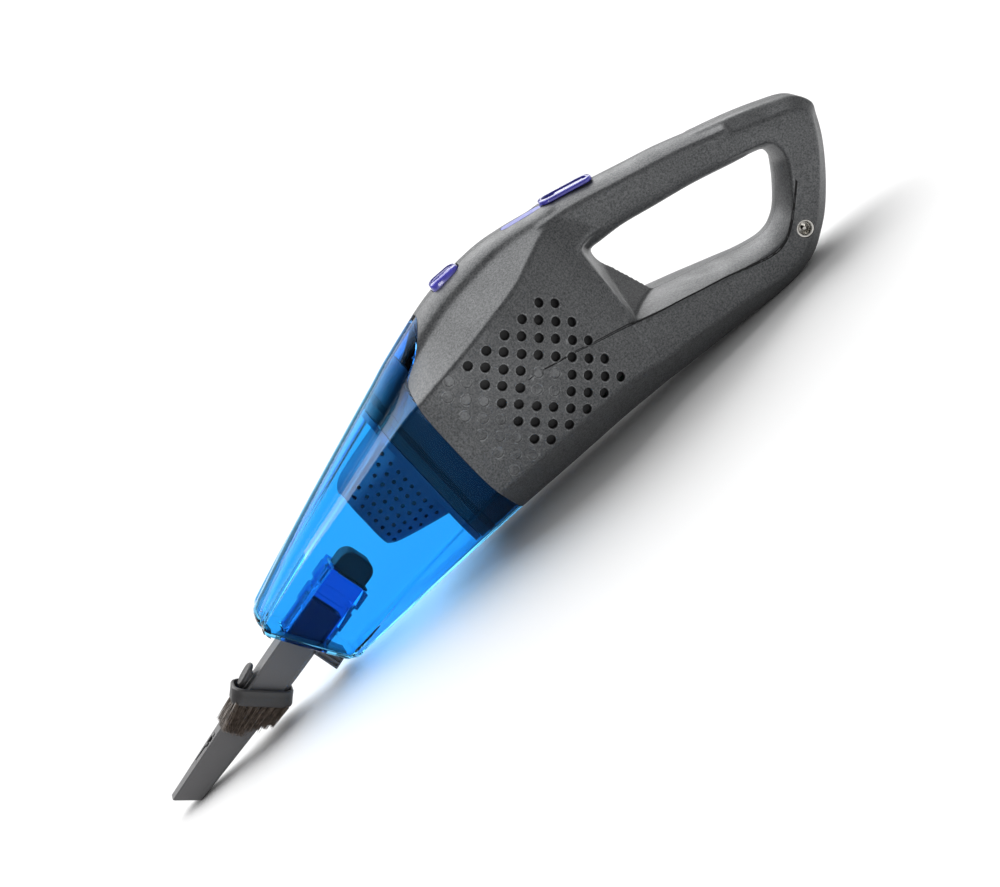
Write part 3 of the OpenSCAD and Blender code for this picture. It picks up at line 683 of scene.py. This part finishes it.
spigot = cup_slice("spigot", CUP_WALL + 0.7, -24, 4.5)
combine(spigot, cup_slice("spigot_room", CUP_WALL + 4, -26, 1.5))
combine(spigot, barrel("air_hole", (-2, 0, 56), (9, 0, 56), 22, sides=64))
groove_ring = cup_slice("ring", CUP_WALL - 1, -19.2, -15.4, 3)
combine(groove_ring, cup_slice("core", CUP_WALL + 2.2, -22, -12, 3))
combine(spigot, groove_ring)
seal = cup_slice("seal", CUP_WALL + 0.3, -19, -15.6, 5)
combine(seal, cup_slice("seal_core", CUP_WALL + 2.1, -22, -12, 3))
print("spigot and seal made")

# %% [markdown]
# Inside the cup stands the filter's basket, a tapered box moulded with rows of small holes. It widens
# towards a flange that is pinched between cup and spigot.

# %% Filter basket and flange
BASKET_END, BASKET_RUN, BASKET_Z = -59, 31.5, 55


def basket_ring(x, grow):
    """The basket's section at x, at a share of its full size"""
    half = profile([(0, -25), (24, -25, 5), (33, -13, 5), (33, 15, 5), (20, 25, 5)],
                   [(12, 25.6), (6, 26), (0, 26)], 4)
    return [(x, y * grow, BASKET_Z + z * grow) for _, y, z in mirrored(half, x)]


def basket_size(x, small, large):
    """How large the basket is at x: it flares from its end wall to its flange"""
    return mid(small, large, (max(x - BASKET_END, 0) / BASKET_RUN) ** 0.8)


end_wall = [basket_ring(-61.0 + e, 0.7 * g) for e, g in ((0, 0.9), (0.6, 0.97), (2, 1.02))]
outer = [basket_ring(x, basket_size(x, 0.725, 1.0)) for x in np.linspace(-57, -27.5, 9)]
inner = [basket_ring(x, basket_size(x, 0.70, 0.955)) for x in np.linspace(-59.2, -26, 9)]
basket = grid_skin("basket", end_wall + outer)
combine(basket, grid_skin("basket_room", inner))
holes = []
for column in range(6):
    for row in range(9):
        x, z = -56.5 + 4.9 * column, 34.5 + 4.9 * row + 2.45 * (column % 2)
        if abs(z - BASKET_Z) < 25 * basket_size(x, 0.725, 1.0) - 3:
            holes.append(barrel("pore", (x, -50, z), (x, 50, z), 1.05, sides=12))
for y in (-12, -6, 0, 6, 12):
    for z in (43, 49, 55, 61, 67):
        holes.append(barrel("pore", (-70, y, z), (-56, y, z), 1.05, sides=12))
combine(basket, join(holes, "pores"))
flange = cup_slice("flange", CUP_WALL + 1.2, -27.5, -24.5, 3)
combine(flange, grid_skin("flange_room", [basket_ring(x, 0.94) for x in (-29, -22)]))
print(len(holes), "rows of pores,", len(basket.data.polygons), "basket faces")

# %% [markdown]
# ## The crevice tool
# The nozzle is a flat tapering box with a slanted tip. Its lower edges are chamfered and its upper edges
# only broken, so the side reads as one flat plate. A snap finger is cut into its upper face, and a ribbed
# tab for the thumb hangs under the nose.

# %% Nozzle
def tool_section(at, w, h, lean, cut, t=0.0):
    c, e = max(cut - 0.4 * t, 0.3), max(0.9 - 0.4 * t, 0.3)
    w, h = w / 2 - t, h / 2 - t
    half = [(0, -h), (w - c, -h), (w, -h + c), (w, h - e), (w - e, h), (0, h)]
    return [(at - z * lean / h, y, z) for _, y, z in mirrored(half, 0)]


def nozzle(name, t=0.0, extra=0.0):
    stops = [(26 + extra, 13.4, 18.6, 0, 2.4), (0, 13.4, 18.6, 0, 2.4), (-10, 13.3, 18.4, 0, 2.4),
             (-40, 12.2, 16.9, 1, 2), (-70, 10.4, 14.4, 2.5, 1.3), (-94 - extra, 9, 12.4, 4, 0.8)]
    obj = grid_skin(name, [tool_section(*s, t) for s in stops])
    obj.data.transform(tool_matrix())
    return obj


tool = nozzle("crevice_nozzle")
combine(tool, nozzle("bore", 1.7, 1))
combine(tool, tool_block("finger_slot", (-76, -61), (-2.6, 2.6), (4.2, 9)))
combine(tool, tool_block("finger", (-76.5, -64), (-1.9, 1.9), (5.6, 6.9), 0.3), "UNION")
combine(tool, tool_block("bump", (-66.5, -64.6), (-1.9, 1.9), (6.4, 8.3), 0.5), "UNION")
combine(tool, tool_block("bump", (-60.6, -58.6), (-1.9, 1.9), (6.6, 8.3), 0.5), "UNION")
thumb = slab("thumb_tab", [(3.3, -8.6), (8.6, -8.6), (11.6, -22.6), (3, -22.9)], -6.8, 6.8)
soften(thumb, 0.5, 0.6)
for a, b in ((4.3, 5.5), (6.7, 7.7), (8.9, 10)):
    for side in (-1, 1):
        combine(thumb, block("rib_gap", (a - 0.1, b + 0.1), sorted((side * 5.2, side * 9)), (-21.9, -10)))
thumb.data.transform(tool_matrix())
combine(tool, thumb, "UNION")
soften(tool, 0.22, 0.5)
print("nozzle:", len(tool.data.polygons), "faces")

# %% [markdown]
# The brush is a sleeve that slides on the nozzle. Its ring leans forward and is dished behind, with an
# oval tab on top to push it along. The bristles are set in tufts round its front face.

# %% Sleeve
COLLAR_AT, COLLAR_LEAN = -29, -30
lean_matrix = tool_matrix(COLLAR_AT, COLLAR_LEAN)
quarter = Matrix.Rotation(math.radians(90), 4, "Y") @ Matrix.Rotation(math.radians(90), 4, "Z")
ring_place = lean_matrix @ quarter
collar = pad("brush_sleeve", 20.2, 31, 6.5,
             [(1.6, -4.4), (0.5, -4.1), (0, -3), (0.1, 1), (0, 3.6), (0.5, 4.4), (1.1, 4.5)], ring_place)
combine(collar, pad("dish", 17.2, 28, 5.4, [(1.2, -0.6), (0, 2), (-0.2, 6)], ring_place))
combine(collar, tool_block("neck", (-32, -22), (-2.6, 2.6), (9.7, 11.8), 0.4), "UNION")
tab_place = tool_matrix(-24, -6) @ Matrix.Translation((0, 0, 11.4))
thumb_tab = pad("tab", 13, 10.4, 5, [(0.5, 0), (0, 0.6), (0, 1.6), (0.7, 2.3), (2.4, 2.6)], tab_place)
combine(collar, thumb_tab, "UNION")
combine(collar, tool_block("sleeve_bore", (-70, -6), (-7.0, 7.0), (-9.6, 9.6)))
soften(collar, 0.3, 0.7)
print("sleeve:", len(collar.data.polygons), "faces")

# %% [markdown]
# A tuft is a bundle of fine tapered strands. One strand is a three-sided spike, bent a little on its way.
# Every strand of a tuft starts in the same small hole and leaves it in its own direction.

# %% Bristles
def tufts(seed, per_tuft):
    chance = random.Random(seed)
    points, faces = [], []
    roots = []
    for k in range(8):
        h = -12.6 + 25.2 * k / 7
        roots += [(side * 8.35, h) for side in (-1, 1)]
    roots += [(y, h) for y in (-4.4, 0, 4.4) for h in (-13.2, 13.2)]
    for y, h in roots:
        root = lean_matrix @ Vector((-3.4, y, h))
        forward = (tool_matrix().to_3x3() @ Vector((-1, 0, -0.16 * h / 13))).normalized()
        reach = 17.5 - 3.2 * abs(h) / 13 + (0.8 if h > 0 else -1.4)
        for _ in range(per_tuft):
            a, r = chance.uniform(0, math.tau), 1.15 * math.sqrt(chance.random())
            lean = Vector((0, math.cos(a), math.sin(a)))
            start = root + lean * r
            stray = Vector((0, 0.05 * chance.uniform(-1, 1), 0.05 * chance.uniform(-1, 1)))
            aim = (forward + lean * r * 0.055 + stray).normalized()
            length = reach + chance.uniform(-0.9, 0.7)
            sag = Vector((0, 0, -0.6 * chance.random()))
            base = len(points)
            side = aim.cross(Vector((0, 1, 0.3))).normalized()
            other = aim.cross(side)
            for t, thick in ((0, 0.17), (0.5, 0.15), (1, 0.1)):
                middle = start + aim * length * t + sag * t * t
                points += [middle + (side * math.cos(b) + other * math.sin(b)) * thick
                           for b in (0, 2.094, 4.189)]
            for ring in (0, 3):
                for i in range(3):
                    j = (i + 1) % 3
                    faces.append((base + ring + i, base + ring + j, base + ring + 3 + j, base + ring + 3 + i))
            faces += [(base + 2, base + 1, base), (base + 6, base + 7, base + 8)]
    return point_mesh("brush_tufts", points, faces)


bristles = tufts(7, 60)
print("bristles:", len(bristles.data.polygons), "faces")

# %% [markdown]
# ## Controls
# Three clear indigo pieces sit on the spine: the cup's release button, a flush indicator lens and the
# sliding switch. The switch has a rim, a groove inside it and a low island in the middle for the thumb.

# %% Button, lens and switch
button = pad("release_cap", 17.2, 12.2, 4.1,
             [(0.4, -6.6), (0, -6), (0, 1.7), (0.25, 2.4), (0.9, 2.9), (1.9, 3.1)], button_place, 0.7)
combine(button, pad("dish", 13, 8, 2.6, [(0.9, 2.35), (0.3, 2.6), (0, 3.3), (0, 5)], button_place, 0.7))
soften(button, 0.15, 0.6)
combine(button, block("arm", (40.6, 43), (-4, 4), (105, 108.2)), "UNION")
combine(button, block("arm", (26, 41), (-4, 4), (105, 106.6)), "UNION")
lens = pad("signal_lens", 23, 7.2, 3.2, [(0, -1.7), (0, -0.15), (0.2, 0.1)], lens_place)
switch = pad("switch_slider", 29.2, 12.4, 4.8,
             [(0.3, 0.3), (0, 0.6), (0, 1.6), (0.2, 2.2), (0.8, 2.55), (1.5, 2.6)], knob_place, 0.12)
switch_groove = pad("groove", 24.4, 7.8, 3, [(0.4, 1.0), (0, 1.3), (0, 5)], knob_place, 0.12)
combine(switch_groove, pad("island", 17, 3.4, 1.6, [(0, 0), (0, 1.8), (0.3, 2.15), (0.8, 2.2)],
                           knob_place @ Matrix.Translation((2.6, 0, 0)), 0.2))
combine(switch, switch_groove)
soften(switch, 0.15, 0.6)
stem = block("stem", (-1.5, 1.5), (-1.8, 1.8), (-6, 0.7))
stem.data.transform(knob_place)
combine(switch, stem, "UNION")
print("controls:", [len(o.data.polygons) for o in (button, lens, switch)], "faces")

# %% [markdown]
# The charging jack is a turned ring with a chamfered mouth, a dark throat and a thin centre pin.

# %% Jack
def lathe(name, line, at, sides=48):
    """A turned piece on the Y axis: its outline is (radius, distance along Y) and closes on itself"""
    rings = []
    for r, y in line:
        rings.append([(at[0] + r * math.cos(a), at[1] + y, at[2] + r * math.sin(a))
                      for a in np.arange(sides) * math.tau / sides])
    return grid_skin(name, rings + [rings[0]], fill=False)


jack_line = [(3.3, 0.2), (3.7, -0.15), (4.35, -0.25), (4.6, 0.1), (4.6, 12), (1.2, 12), (1.2, 9.6),
             (3.1, 9.4), (3.1, 1.2)]
jack = lathe("jack_ring", jack_line, (197, -17.3, 12.5))
pin = barrel("jack_centre", (197, -16.4, 12.5), (197, -7.6, 12.5), 1.02, sides=24)
soften(pin, 0.4, 0.9, 3)
print("jack made")

# %% [markdown]
# ## Laying the pieces down
# Until now every piece stands in the maker's frame, in millimetres. One matrix lays it on the ground in
# metres. Flat faces stay flat and soft ones are shaded smooth, by the angle between neighbours.

# %% Place and ride
PIECES = {
    right_half: ("housing", ["right_shell"], "body_plastic", 28),
    left_half: ("housing", ["left_shell"], "body_plastic", 28),
    spigot: ("housing", ["front_spigot"], "dark_plastic", 25),
    seal: ("housing", ["seal_ring"], "rubber_black", 25),
    jack: ("housing", ["charge_jack"], "jack_metal", 30),
    pin: ("housing", ["jack_pin"], "jack_metal", 30),
    lens: ("housing", ["indicator_lens"], "lens_plastic", 30),
    switch: ("switch_knob", ["power_switch"], "accent_plastic", 35),
    button: ("latch", ["release_button"], "accent_plastic", 35),
    cup: ("cup", ["dust_cup"], "cup_plastic", 22),
    duct: ("cup", ["inlet_tube"], "cup_plastic", 30),
    flap: ("flap", ["flap_valve"], "rubber_black", 30),
    basket: ("filter", ["filter_screen"], "screen_plastic", 30),
    flange: ("filter", ["filter_flange"], "screen_plastic", 30),
    tool: ("tool", ["crevice_tool"], "tool_plastic", 30),
    collar: ("brush", ["brush_collar"], "collar_plastic", 30),
    bristles: ("brush", ["brush_bristles"], "bristle", 60),
}
for obj, (body, nodes, slot, angle) in PIECES.items():
    obj.data.transform(settle)
    pick(obj)
    bpy.ops.object.shade_smooth_by_angle(angle=math.radians(angle))
    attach(obj, body)
    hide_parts(*nodes)
print(len(PIECES), "pieces laid down")

# %% [markdown]
# ## Finishes
# Three effects are shared: the grain of a moulded surface, a painted highlight line along sharp edges,
# and the fine scratches of metal. Each is one shader node group.

# %% Node helpers
def node(tree, kind, links=(), **settings):
    made = tree.nodes.new(kind)
    for key, value in settings.items():
        setattr(made, key, value)
    for socket, source in dict(links).items():
        if isinstance(source, bpy.types.NodeSocket):
            tree.links.new(source, made.inputs[socket])
        else:
            made.inputs[socket].default_value = source
    return made


def blend(tree, factor, low, high):
    """A colour that runs from low to high with the factor"""
    made = node(tree, "ShaderNodeMix", {0: factor}, data_type="RGBA")
    made.inputs[6].default_value, made.inputs[7].default_value = (*low, 1), (*high, 1)
    return made.outputs[2]


def wire(tree, shader, color, rough, normal):
    for socket, source in (("Base Color", color), ("Roughness", rough), ("Normal", normal)):
        tree.links.new(source, shader.inputs[socket])


def start_group(name, inputs, outputs):
    tree = bpy.data.node_groups.new(name, "ShaderNodeTree")
    for label, default in inputs:
        socket = tree.interface.new_socket(label, in_out="INPUT", socket_type="NodeSocketFloat")
        socket.default_value = default
    for label, kind in outputs:
        tree.interface.new_socket(label, in_out="OUTPUT", socket_type="NodeSocket" + kind)
    return tree, tree.nodes.new("NodeGroupInput").outputs, tree.nodes.new("NodeGroupOutput").inputs


# %% Grain, painted edge highlight and scratch groups
grain, g_in, g_out = start_group("moulded_grain", [("Cells per metre", 1500), ("Depth", 0.3)],
                                 [("Fine", "Float"), ("Cloud", "Float"), ("Normal", "Vector")])
place = node(grain, "ShaderNodeTexCoord").outputs["Object"]
fine = node(grain, "ShaderNodeTexNoise", {"Vector": place, "Scale": g_in["Cells per metre"], "Detail": 3.0,
                                          "Roughness": 0.7})
spread = node(grain, "ShaderNodeMapRange", {0: fine.outputs["Fac"], 1: 0.34, 2: 0.68})
cloud = node(grain, "ShaderNodeTexNoise", {"Vector": place, "Scale": 26.0, "Detail": 4.0, "Roughness": 0.6,
                                           "Distortion": 0.6})
cloud_spread = node(grain, "ShaderNodeMapRange", {0: cloud.outputs["Fac"], 1: 0.36, 2: 0.66})
bump = node(grain, "ShaderNodeBump", {"Height": fine.outputs["Fac"], "Strength": g_in["Depth"],
                                      "Distance": 0.0002})
grain.links.new(spread.outputs[0], g_out["Fine"])
grain.links.new(cloud_spread.outputs[0], g_out["Cloud"])
grain.links.new(bump.outputs["Normal"], g_out["Normal"])

# painted highlight: pointiness marks the sharp edges that get a lighter colour
edges, e_in, e_out = start_group("painted_edge_highlight", [("Start", 0.52), ("Full", 0.58)], [("Highlight", "Float")])
point = node(edges, "ShaderNodeNewGeometry").outputs["Pointiness"]
edge = node(edges, "ShaderNodeMapRange", {0: point, 1: e_in["Start"], 2: e_in["Full"]})
edges.links.new(edge.outputs[0], e_out["Highlight"])

scratch, s_in, s_out = start_group("turned_metal", [("Lines per metre", 4000)],
                                   [("Lines", "Float"), ("Normal", "Vector")])
place = node(scratch, "ShaderNodeTexCoord").outputs["Object"]
thin = node(scratch, "ShaderNodeMapping", {"Vector": place, "Scale": (1, 0.03, 0.03)})
lines = node(scratch, "ShaderNodeTexNoise", {"Vector": thin.outputs[0], "Scale": s_in["Lines per metre"],
                                             "Detail": 4.0})
bump = node(scratch, "ShaderNodeBump", {"Height": lines.outputs["Fac"], "Strength": 0.15, "Distance": 0.0001})
scratch.links.new(lines.outputs["Fac"], s_out["Lines"])
scratch.links.new(bump.outputs["Normal"], s_out["Normal"])


# %% Finish recipes
def finish(name, **sockets):
    mat = bpy.data.materials.new(name)
    mat.use_nodes = True
    shader = mat.node_tree.nodes["Principled BSDF"]
    for key, value in sockets.items():
        shader.inputs[key.replace("_", " ").title().replace("Ior", "IOR")].default_value = value
    return mat, mat.node_tree, shader


def plastic(name, color, light, rough, cells=1500.0, depth=0.3, edge=0.0, **sockets):
    """Moulded plastic: two shades in a fine grain, cloudy gloss, and a painted highlight on sharp edges if
    asked
    """
    mat, tree, shader = finish(name, **sockets)
    g = node(tree, "ShaderNodeGroup", node_tree=grain)
    g.inputs[0].default_value, g.inputs[1].default_value = cells, depth
    out = blend(tree, g.outputs["Fine"], color, light)
    # the painted edge highlight: a much lighter colour mixed in along sharp edges
    if edge:
        line = node(tree, "ShaderNodeGroup", node_tree=edges)
        strength = node(tree, "ShaderNodeMath", {0: line.outputs["Highlight"], 1: edge}, operation="MULTIPLY")
        lit = node(tree, "ShaderNodeMix", {0: strength.outputs[0], 6: out}, data_type="RGBA")
        lit.inputs[7].default_value = (*(min(1, 3.0 * c + 0.05) for c in light), 1)
        out = lit.outputs[2]
    gloss = node(tree, "ShaderNodeMapRange", {0: g.outputs["Cloud"], 3: rough - 0.07, 4: rough + 0.09})
    wire(tree, shader, out, gloss.outputs[0], g.outputs["Normal"])
    return mat


def metal(name, color, rough, lines=4000.0):
    mat, tree, shader = finish(name, metallic=1.0)
    s = node(tree, "ShaderNodeGroup", node_tree=scratch)
    s.inputs[0].default_value = lines
    shade = blend(tree, s.outputs["Lines"], [0.6 * c for c in color], color)
    gloss = node(tree, "ShaderNodeMapRange", {0: s.outputs["Lines"], 3: rough - 0.08, 4: rough + 0.12})
    wire(tree, shader, shade, gloss.outputs[0], s.outputs["Normal"])
    return mat


# %% [markdown]
# The cup is coloured acrylic. Light must reach what stands inside it, and a path tracer finds that hard
# through glass, so shadow rays pass as through a tinted film and all other rays see the real glass.

# %% Clear blue
def clear(name, low, high, film, rough=0.03, split=(-0.03, 0.012)):
    """Tinted acrylic whose colour turns from low to high along the object, nose to tail"""
    mat, tree, shader = finish(name, transmission_weight=1.0, ior=1.13, metallic=0.0)
    place = node(tree, "ShaderNodeTexCoord").outputs["Object"]
    x = node(tree, "ShaderNodeSeparateXYZ", {0: place}).outputs["X"]
    rise = node(tree, "ShaderNodeMapRange", {0: x, 1: split[0], 2: split[1]})
    tint = blend(tree, rise.outputs[0], low, high)
    waves = node(tree, "ShaderNodeTexNoise", {"Vector": place, "Scale": 35.0, "Detail": 2.0})
    bump = node(tree, "ShaderNodeBump", {"Height": waves.outputs["Fac"], "Strength": 0.12, "Distance": 0.001})
    gloss = node(tree, "ShaderNodeMapRange", {0: waves.outputs["Fac"], 3: rough * 0.5, 4: rough * 1.5})
    wire(tree, shader, tint, gloss.outputs[0], bump.outputs["Normal"])
    veil = node(tree, "ShaderNodeBsdfTransparent")
    veil.inputs["Color"].default_value = (*film, 1)
    ray = node(tree, "ShaderNodeLightPath").outputs["Is Shadow Ray"]
    both = node(tree, "ShaderNodeMixShader", {0: ray, 1: shader.outputs[0], 2: veil.outputs[0]})
    tree.links.new(both.outputs[0], tree.nodes["Material Output"].inputs["Surface"])
    return mat


# %% All finishes
F = {
    "body": plastic("gunmetal_flake", (0.046, 0.048, 0.051), (0.15, 0.154, 0.158), 0.4, 1100.0, 0.35, 0.25,
                    metallic=0.35),
    # painted highlight: a lighter finish for the chamfers round vents and dimples
    "rim": plastic("gunmetal_rim_painted_highlight", (0.09, 0.093, 0.096), (0.2, 0.205, 0.21), 0.35, 1100.0, 0.2,
                   metallic=0.35),
    # painted shade: a near-black finish for the faces deeper than the skin, where shade falls
    "inside": plastic("housing_inside_painted_shade", (0.012, 0.012, 0.013), (0.02, 0.02, 0.021), 0.6),
    "dark": plastic("spigot_plastic", (0.02, 0.02, 0.024), (0.04, 0.04, 0.045), 0.4),
    "rubber": plastic("black_rubber", (0.006, 0.006, 0.007), (0.012, 0.012, 0.013), 0.55, 800.0, 0.2),
    "cup": clear("cup_acrylic", (0.14, 0.58, 0.94), (0.09, 0.33, 0.8), (0.84, 0.93, 0.99)),
    "duct": clear("duct_acrylic", (0.22, 0.41, 0.78), (0.22, 0.41, 0.78), (0.7, 0.85, 0.98), 0.06),
    "indigo": plastic("indigo_gloss", (0.022, 0.018, 0.30), (0.035, 0.03, 0.42), 0.14, 300.0, 0.02, 0.9,
                      coat_weight=1.0, coat_roughness=0.04),
    "lens": plastic("periwinkle_lens", (0.20, 0.22, 0.72), (0.30, 0.33, 0.82), 0.28, 500.0, 0.03,
                    coat_weight=0.5),
    "screen": plastic("screen_plastic", (0.05, 0.09, 0.16), (0.07, 0.12, 0.21), 0.45),
    "tool": plastic("tool_grey", (0.03, 0.03, 0.032), (0.048, 0.047, 0.049), 0.5, 2200.0, 0.2, 0.5),
    "collar": plastic("sleeve_grey", (0.022, 0.021, 0.022), (0.036, 0.035, 0.036), 0.48, 1600.0, 0.3, 0.5),
    "bristle": plastic("bristle_nylon", (0.08, 0.062, 0.05), (0.24, 0.19, 0.155), 0.45, 500.0, 0.0),
    "nickel": metal("nickel_plate", (0.72, 0.70, 0.66), 0.22),
    "steel": metal("bright_steel", (0.62, 0.62, 0.62), 0.3),
    "zinc": metal("zinc_can", (0.45, 0.46, 0.47), 0.42, 1500.0),
    "fan": plastic("fan_white", (0.55, 0.54, 0.5), (0.68, 0.67, 0.62), 0.4),
    "cap": plastic("motor_cap", (0.5, 0.46, 0.36), (0.62, 0.58, 0.46), 0.5),
    "frame": plastic("inner_frame", (0.03, 0.031, 0.034), (0.05, 0.05, 0.055), 0.5),
    "wrap": plastic("cell_wrap", (0.03, 0.22, 0.12), (0.04, 0.3, 0.17), 0.25, 900.0, 0.05),
    "board": plastic("board_lacquer", (0.008, 0.07, 0.025), (0.02, 0.13, 0.05), 0.3, 700.0, 0.2),
    "wire": plastic("wire_red", (0.35, 0.015, 0.012), (0.5, 0.03, 0.02), 0.35, 900.0, 0.05),
    "paper": plastic("pleat_paper", (0.6, 0.59, 0.56), (0.78, 0.77, 0.74), 0.85, 900.0, 0.6),
    "led": plastic("led_resin", (0.6, 0.62, 0.7), (0.75, 0.77, 0.85), 0.15, 600.0, 0.02),
}
print(len(F), "finishes")

# %% Finishes on the new pieces
for obj, key in ((spigot, "dark"), (seal, "rubber"), (jack, "nickel"), (pin, "nickel"), (lens, "lens"),
                 (switch, "indigo"), (button, "indigo"), (cup, "cup"), (duct, "duct"), (flap, "rubber"),
                 (basket, "screen"), (flange, "screen"), (tool, "tool"), (collar, "collar"),
                 (bristles, "bristle")):
    obj.data.materials.clear()
    obj.data.materials.append(F[key])

# %% [markdown]
# The body halves carry three finishes. Whatever lies deeper than the skin, such as a vent's wall, is painted
# dark as painted shade, because it never sees the light. The chamfers of vents and dimples get a painted
# highlight.

# %% Skin and inside of the body
unsettle = settle.inverted()
unturn = settle.to_3x3().normalized().transposed()
vent_grid = np.array(vent_spots)
SKIN, PAINTED_SHADE, RIM_HIGHLIGHT = range(3)
ON_SKIN, DEEP, SAME_WAY, VENT_REACH = 0.1, 0.75, 0.93, 3.2
for half in (right_half, left_half):
    half.data.materials.clear()
    half.data.materials.append(F["body"])
    half.data.materials.append(F["inside"])
    half.data.materials.append(F["rim"])
    tally = [0, 0, 0]
    for face in half.data.polygons:
        spot = unsettle @ face.center
        normal, _, distance = skin_tree.find_nearest(spot)[1:]
        flat = abs(normal.dot(unturn @ face.normal)) > SAME_WAY
        by_vent = np.min(np.hypot(vent_grid[:, 0] - spot.x, vent_grid[:, 1] - spot.z)) < VENT_REACH
        # faces on the skin keep the body finish, deeper faces get the painted shade
        if distance < ON_SKIN or flat and distance <= DEEP:
            face.material_index = SKIN
        # the painted highlight goes on the chamfers beside the vents
        elif by_vent and distance <= DEEP:
            face.material_index = RIM_HIGHLIGHT
        else:
            face.material_index = PAINTED_SHADE
        tally[face.material_index] += 1
    print(half.name, tally, "faces of skin, inside and rims")

# %% [markdown]
# The hidden parts come straight from the CAD model, so only their finishes are new.

# %% Finishes on the carried-over nodes
CARRIED = {
    "steel": ["shell_screws", "motor_screws", "motor_shaft", "latch_spring", "flap_pin"],
    "zinc": ["motor_can"],
    "cap": ["motor_end_cap"],
    "frame": ["motor_mount", "fan_shroud", "battery_tray", "switch_module"],
    "fan": ["impeller"],
    "wrap": ["battery_cells"],
    "board": ["circuit_board"],
    "wire": ["wiring"],
    "led": ["status_led"],
    "paper": ["filter_pleats"],
    "indigo": ["filter_tab"],
}
for key, names in CARRIED.items():
    for name in names:
        target = frame["nodes"][name]
        target.data.materials.clear()
        target.data.materials.append(F[key])
missed = [n for n, o in frame["nodes"].items() if not o.hide_render and n not in sum(CARRIED.values(), [])]
print("carried-over nodes without a finish:", missed)

# %% [markdown]
# ## Studio
# A wide pale floor, one broad soft light from above and behind, two small soft ones and a dim pale room.
# The camera stands off the right side, seventeen degrees up, and is rolled so that the nose points down.

# %% Floor and room
pick_none()
bpy.ops.mesh.primitive_plane_add(size=40)
floor = bpy.context.object
floor.name = "studio_floor"
floor_mat, floor_tree, floor_shader = finish("floor_paper", roughness=0.9)
place = node(floor_tree, "ShaderNodeTexCoord").outputs["Object"]
speck = node(floor_tree, "ShaderNodeTexNoise", {"Scale": 40.0, "Detail": 3.0, "Vector": place})
pale = blend(floor_tree, speck.outputs["Fac"], (0.95, 0.95, 0.95), (0.97, 0.97, 0.97))
floor_tree.links.new(pale, floor_shader.inputs["Base Color"])
floor.data.materials.append(floor_mat)
floor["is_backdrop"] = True

world = bpy.data.worlds.new("pale_room")
bpy.context.scene.world = world
world.use_nodes = True
world.node_tree.nodes["Background"].inputs["Color"].default_value = (1, 1, 1, 1)
world.node_tree.nodes["Background"].inputs["Strength"].default_value = 0.3


# %% Lights
def soft_light(name, spot, size, watts, aim=(0.0, 0.0, 0.05)):
    bpy.ops.object.light_add(type="AREA", location=spot)
    lamp = bpy.context.object
    lamp.name = name
    lamp.data.energy, lamp.data.shape, lamp.data.size, lamp.data.size_y = watts, "RECTANGLE", *size
    lamp.rotation_euler = (Vector(aim) - Vector(spot)).to_track_quat("-Z", "Y").to_euler()


bpy.ops.object.light_add(type="SUN", location=(0, 0, 2))
sky = bpy.context.object
sky.name = "overhead"
sky.data.energy, sky.data.angle = 3.2, math.radians(75)
sky.rotation_euler = Vector((0.12, -0.7, -1)).to_track_quat("-Z", "Y").to_euler()
soft_light("front_glint", (-0.12, -1.3, 0.12), (0.3, 0.2), 1.1)
soft_light("rear_top", (0.45, 0.8, 0.5), (0.5, 0.5), 1.5, (0.1, 0, 0.05))

# %% Camera
centre = settle @ Vector((13.5, 0, 32.4))
turn = settle.to_3x3().normalized()
down, roll = math.radians(17), math.radians(42.66)
ahead = Vector((0, math.cos(down), -math.sin(down)))
upright = Vector((0, math.sin(down), math.cos(down)))
image_right = math.cos(roll) * Vector((1, 0, 0)) - math.sin(roll) * upright
image_up = math.sin(roll) * Vector((1, 0, 0)) + math.cos(roll) * upright
bpy.ops.object.camera_add(location=centre - (turn @ ahead) * 1.25)
camera = bpy.context.object
axes = Matrix([turn @ image_right, turn @ image_up, turn @ -ahead]).transposed()
camera.rotation_euler = axes.to_euler()
camera.data.lens, camera.data.sensor_width = 90, 36
camera.data.clip_start, camera.data.clip_end = 0.05, 50
bpy.context.scene.camera = camera
bpy.context.scene.view_settings.view_transform = "Standard"

# %% Sizes and finish
visual_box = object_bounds()
for label, box in (("CAD", cad_box), ("visual", visual_box)):
    print(label, "box", [[round(v, 4) for v in corner] for corner in box])
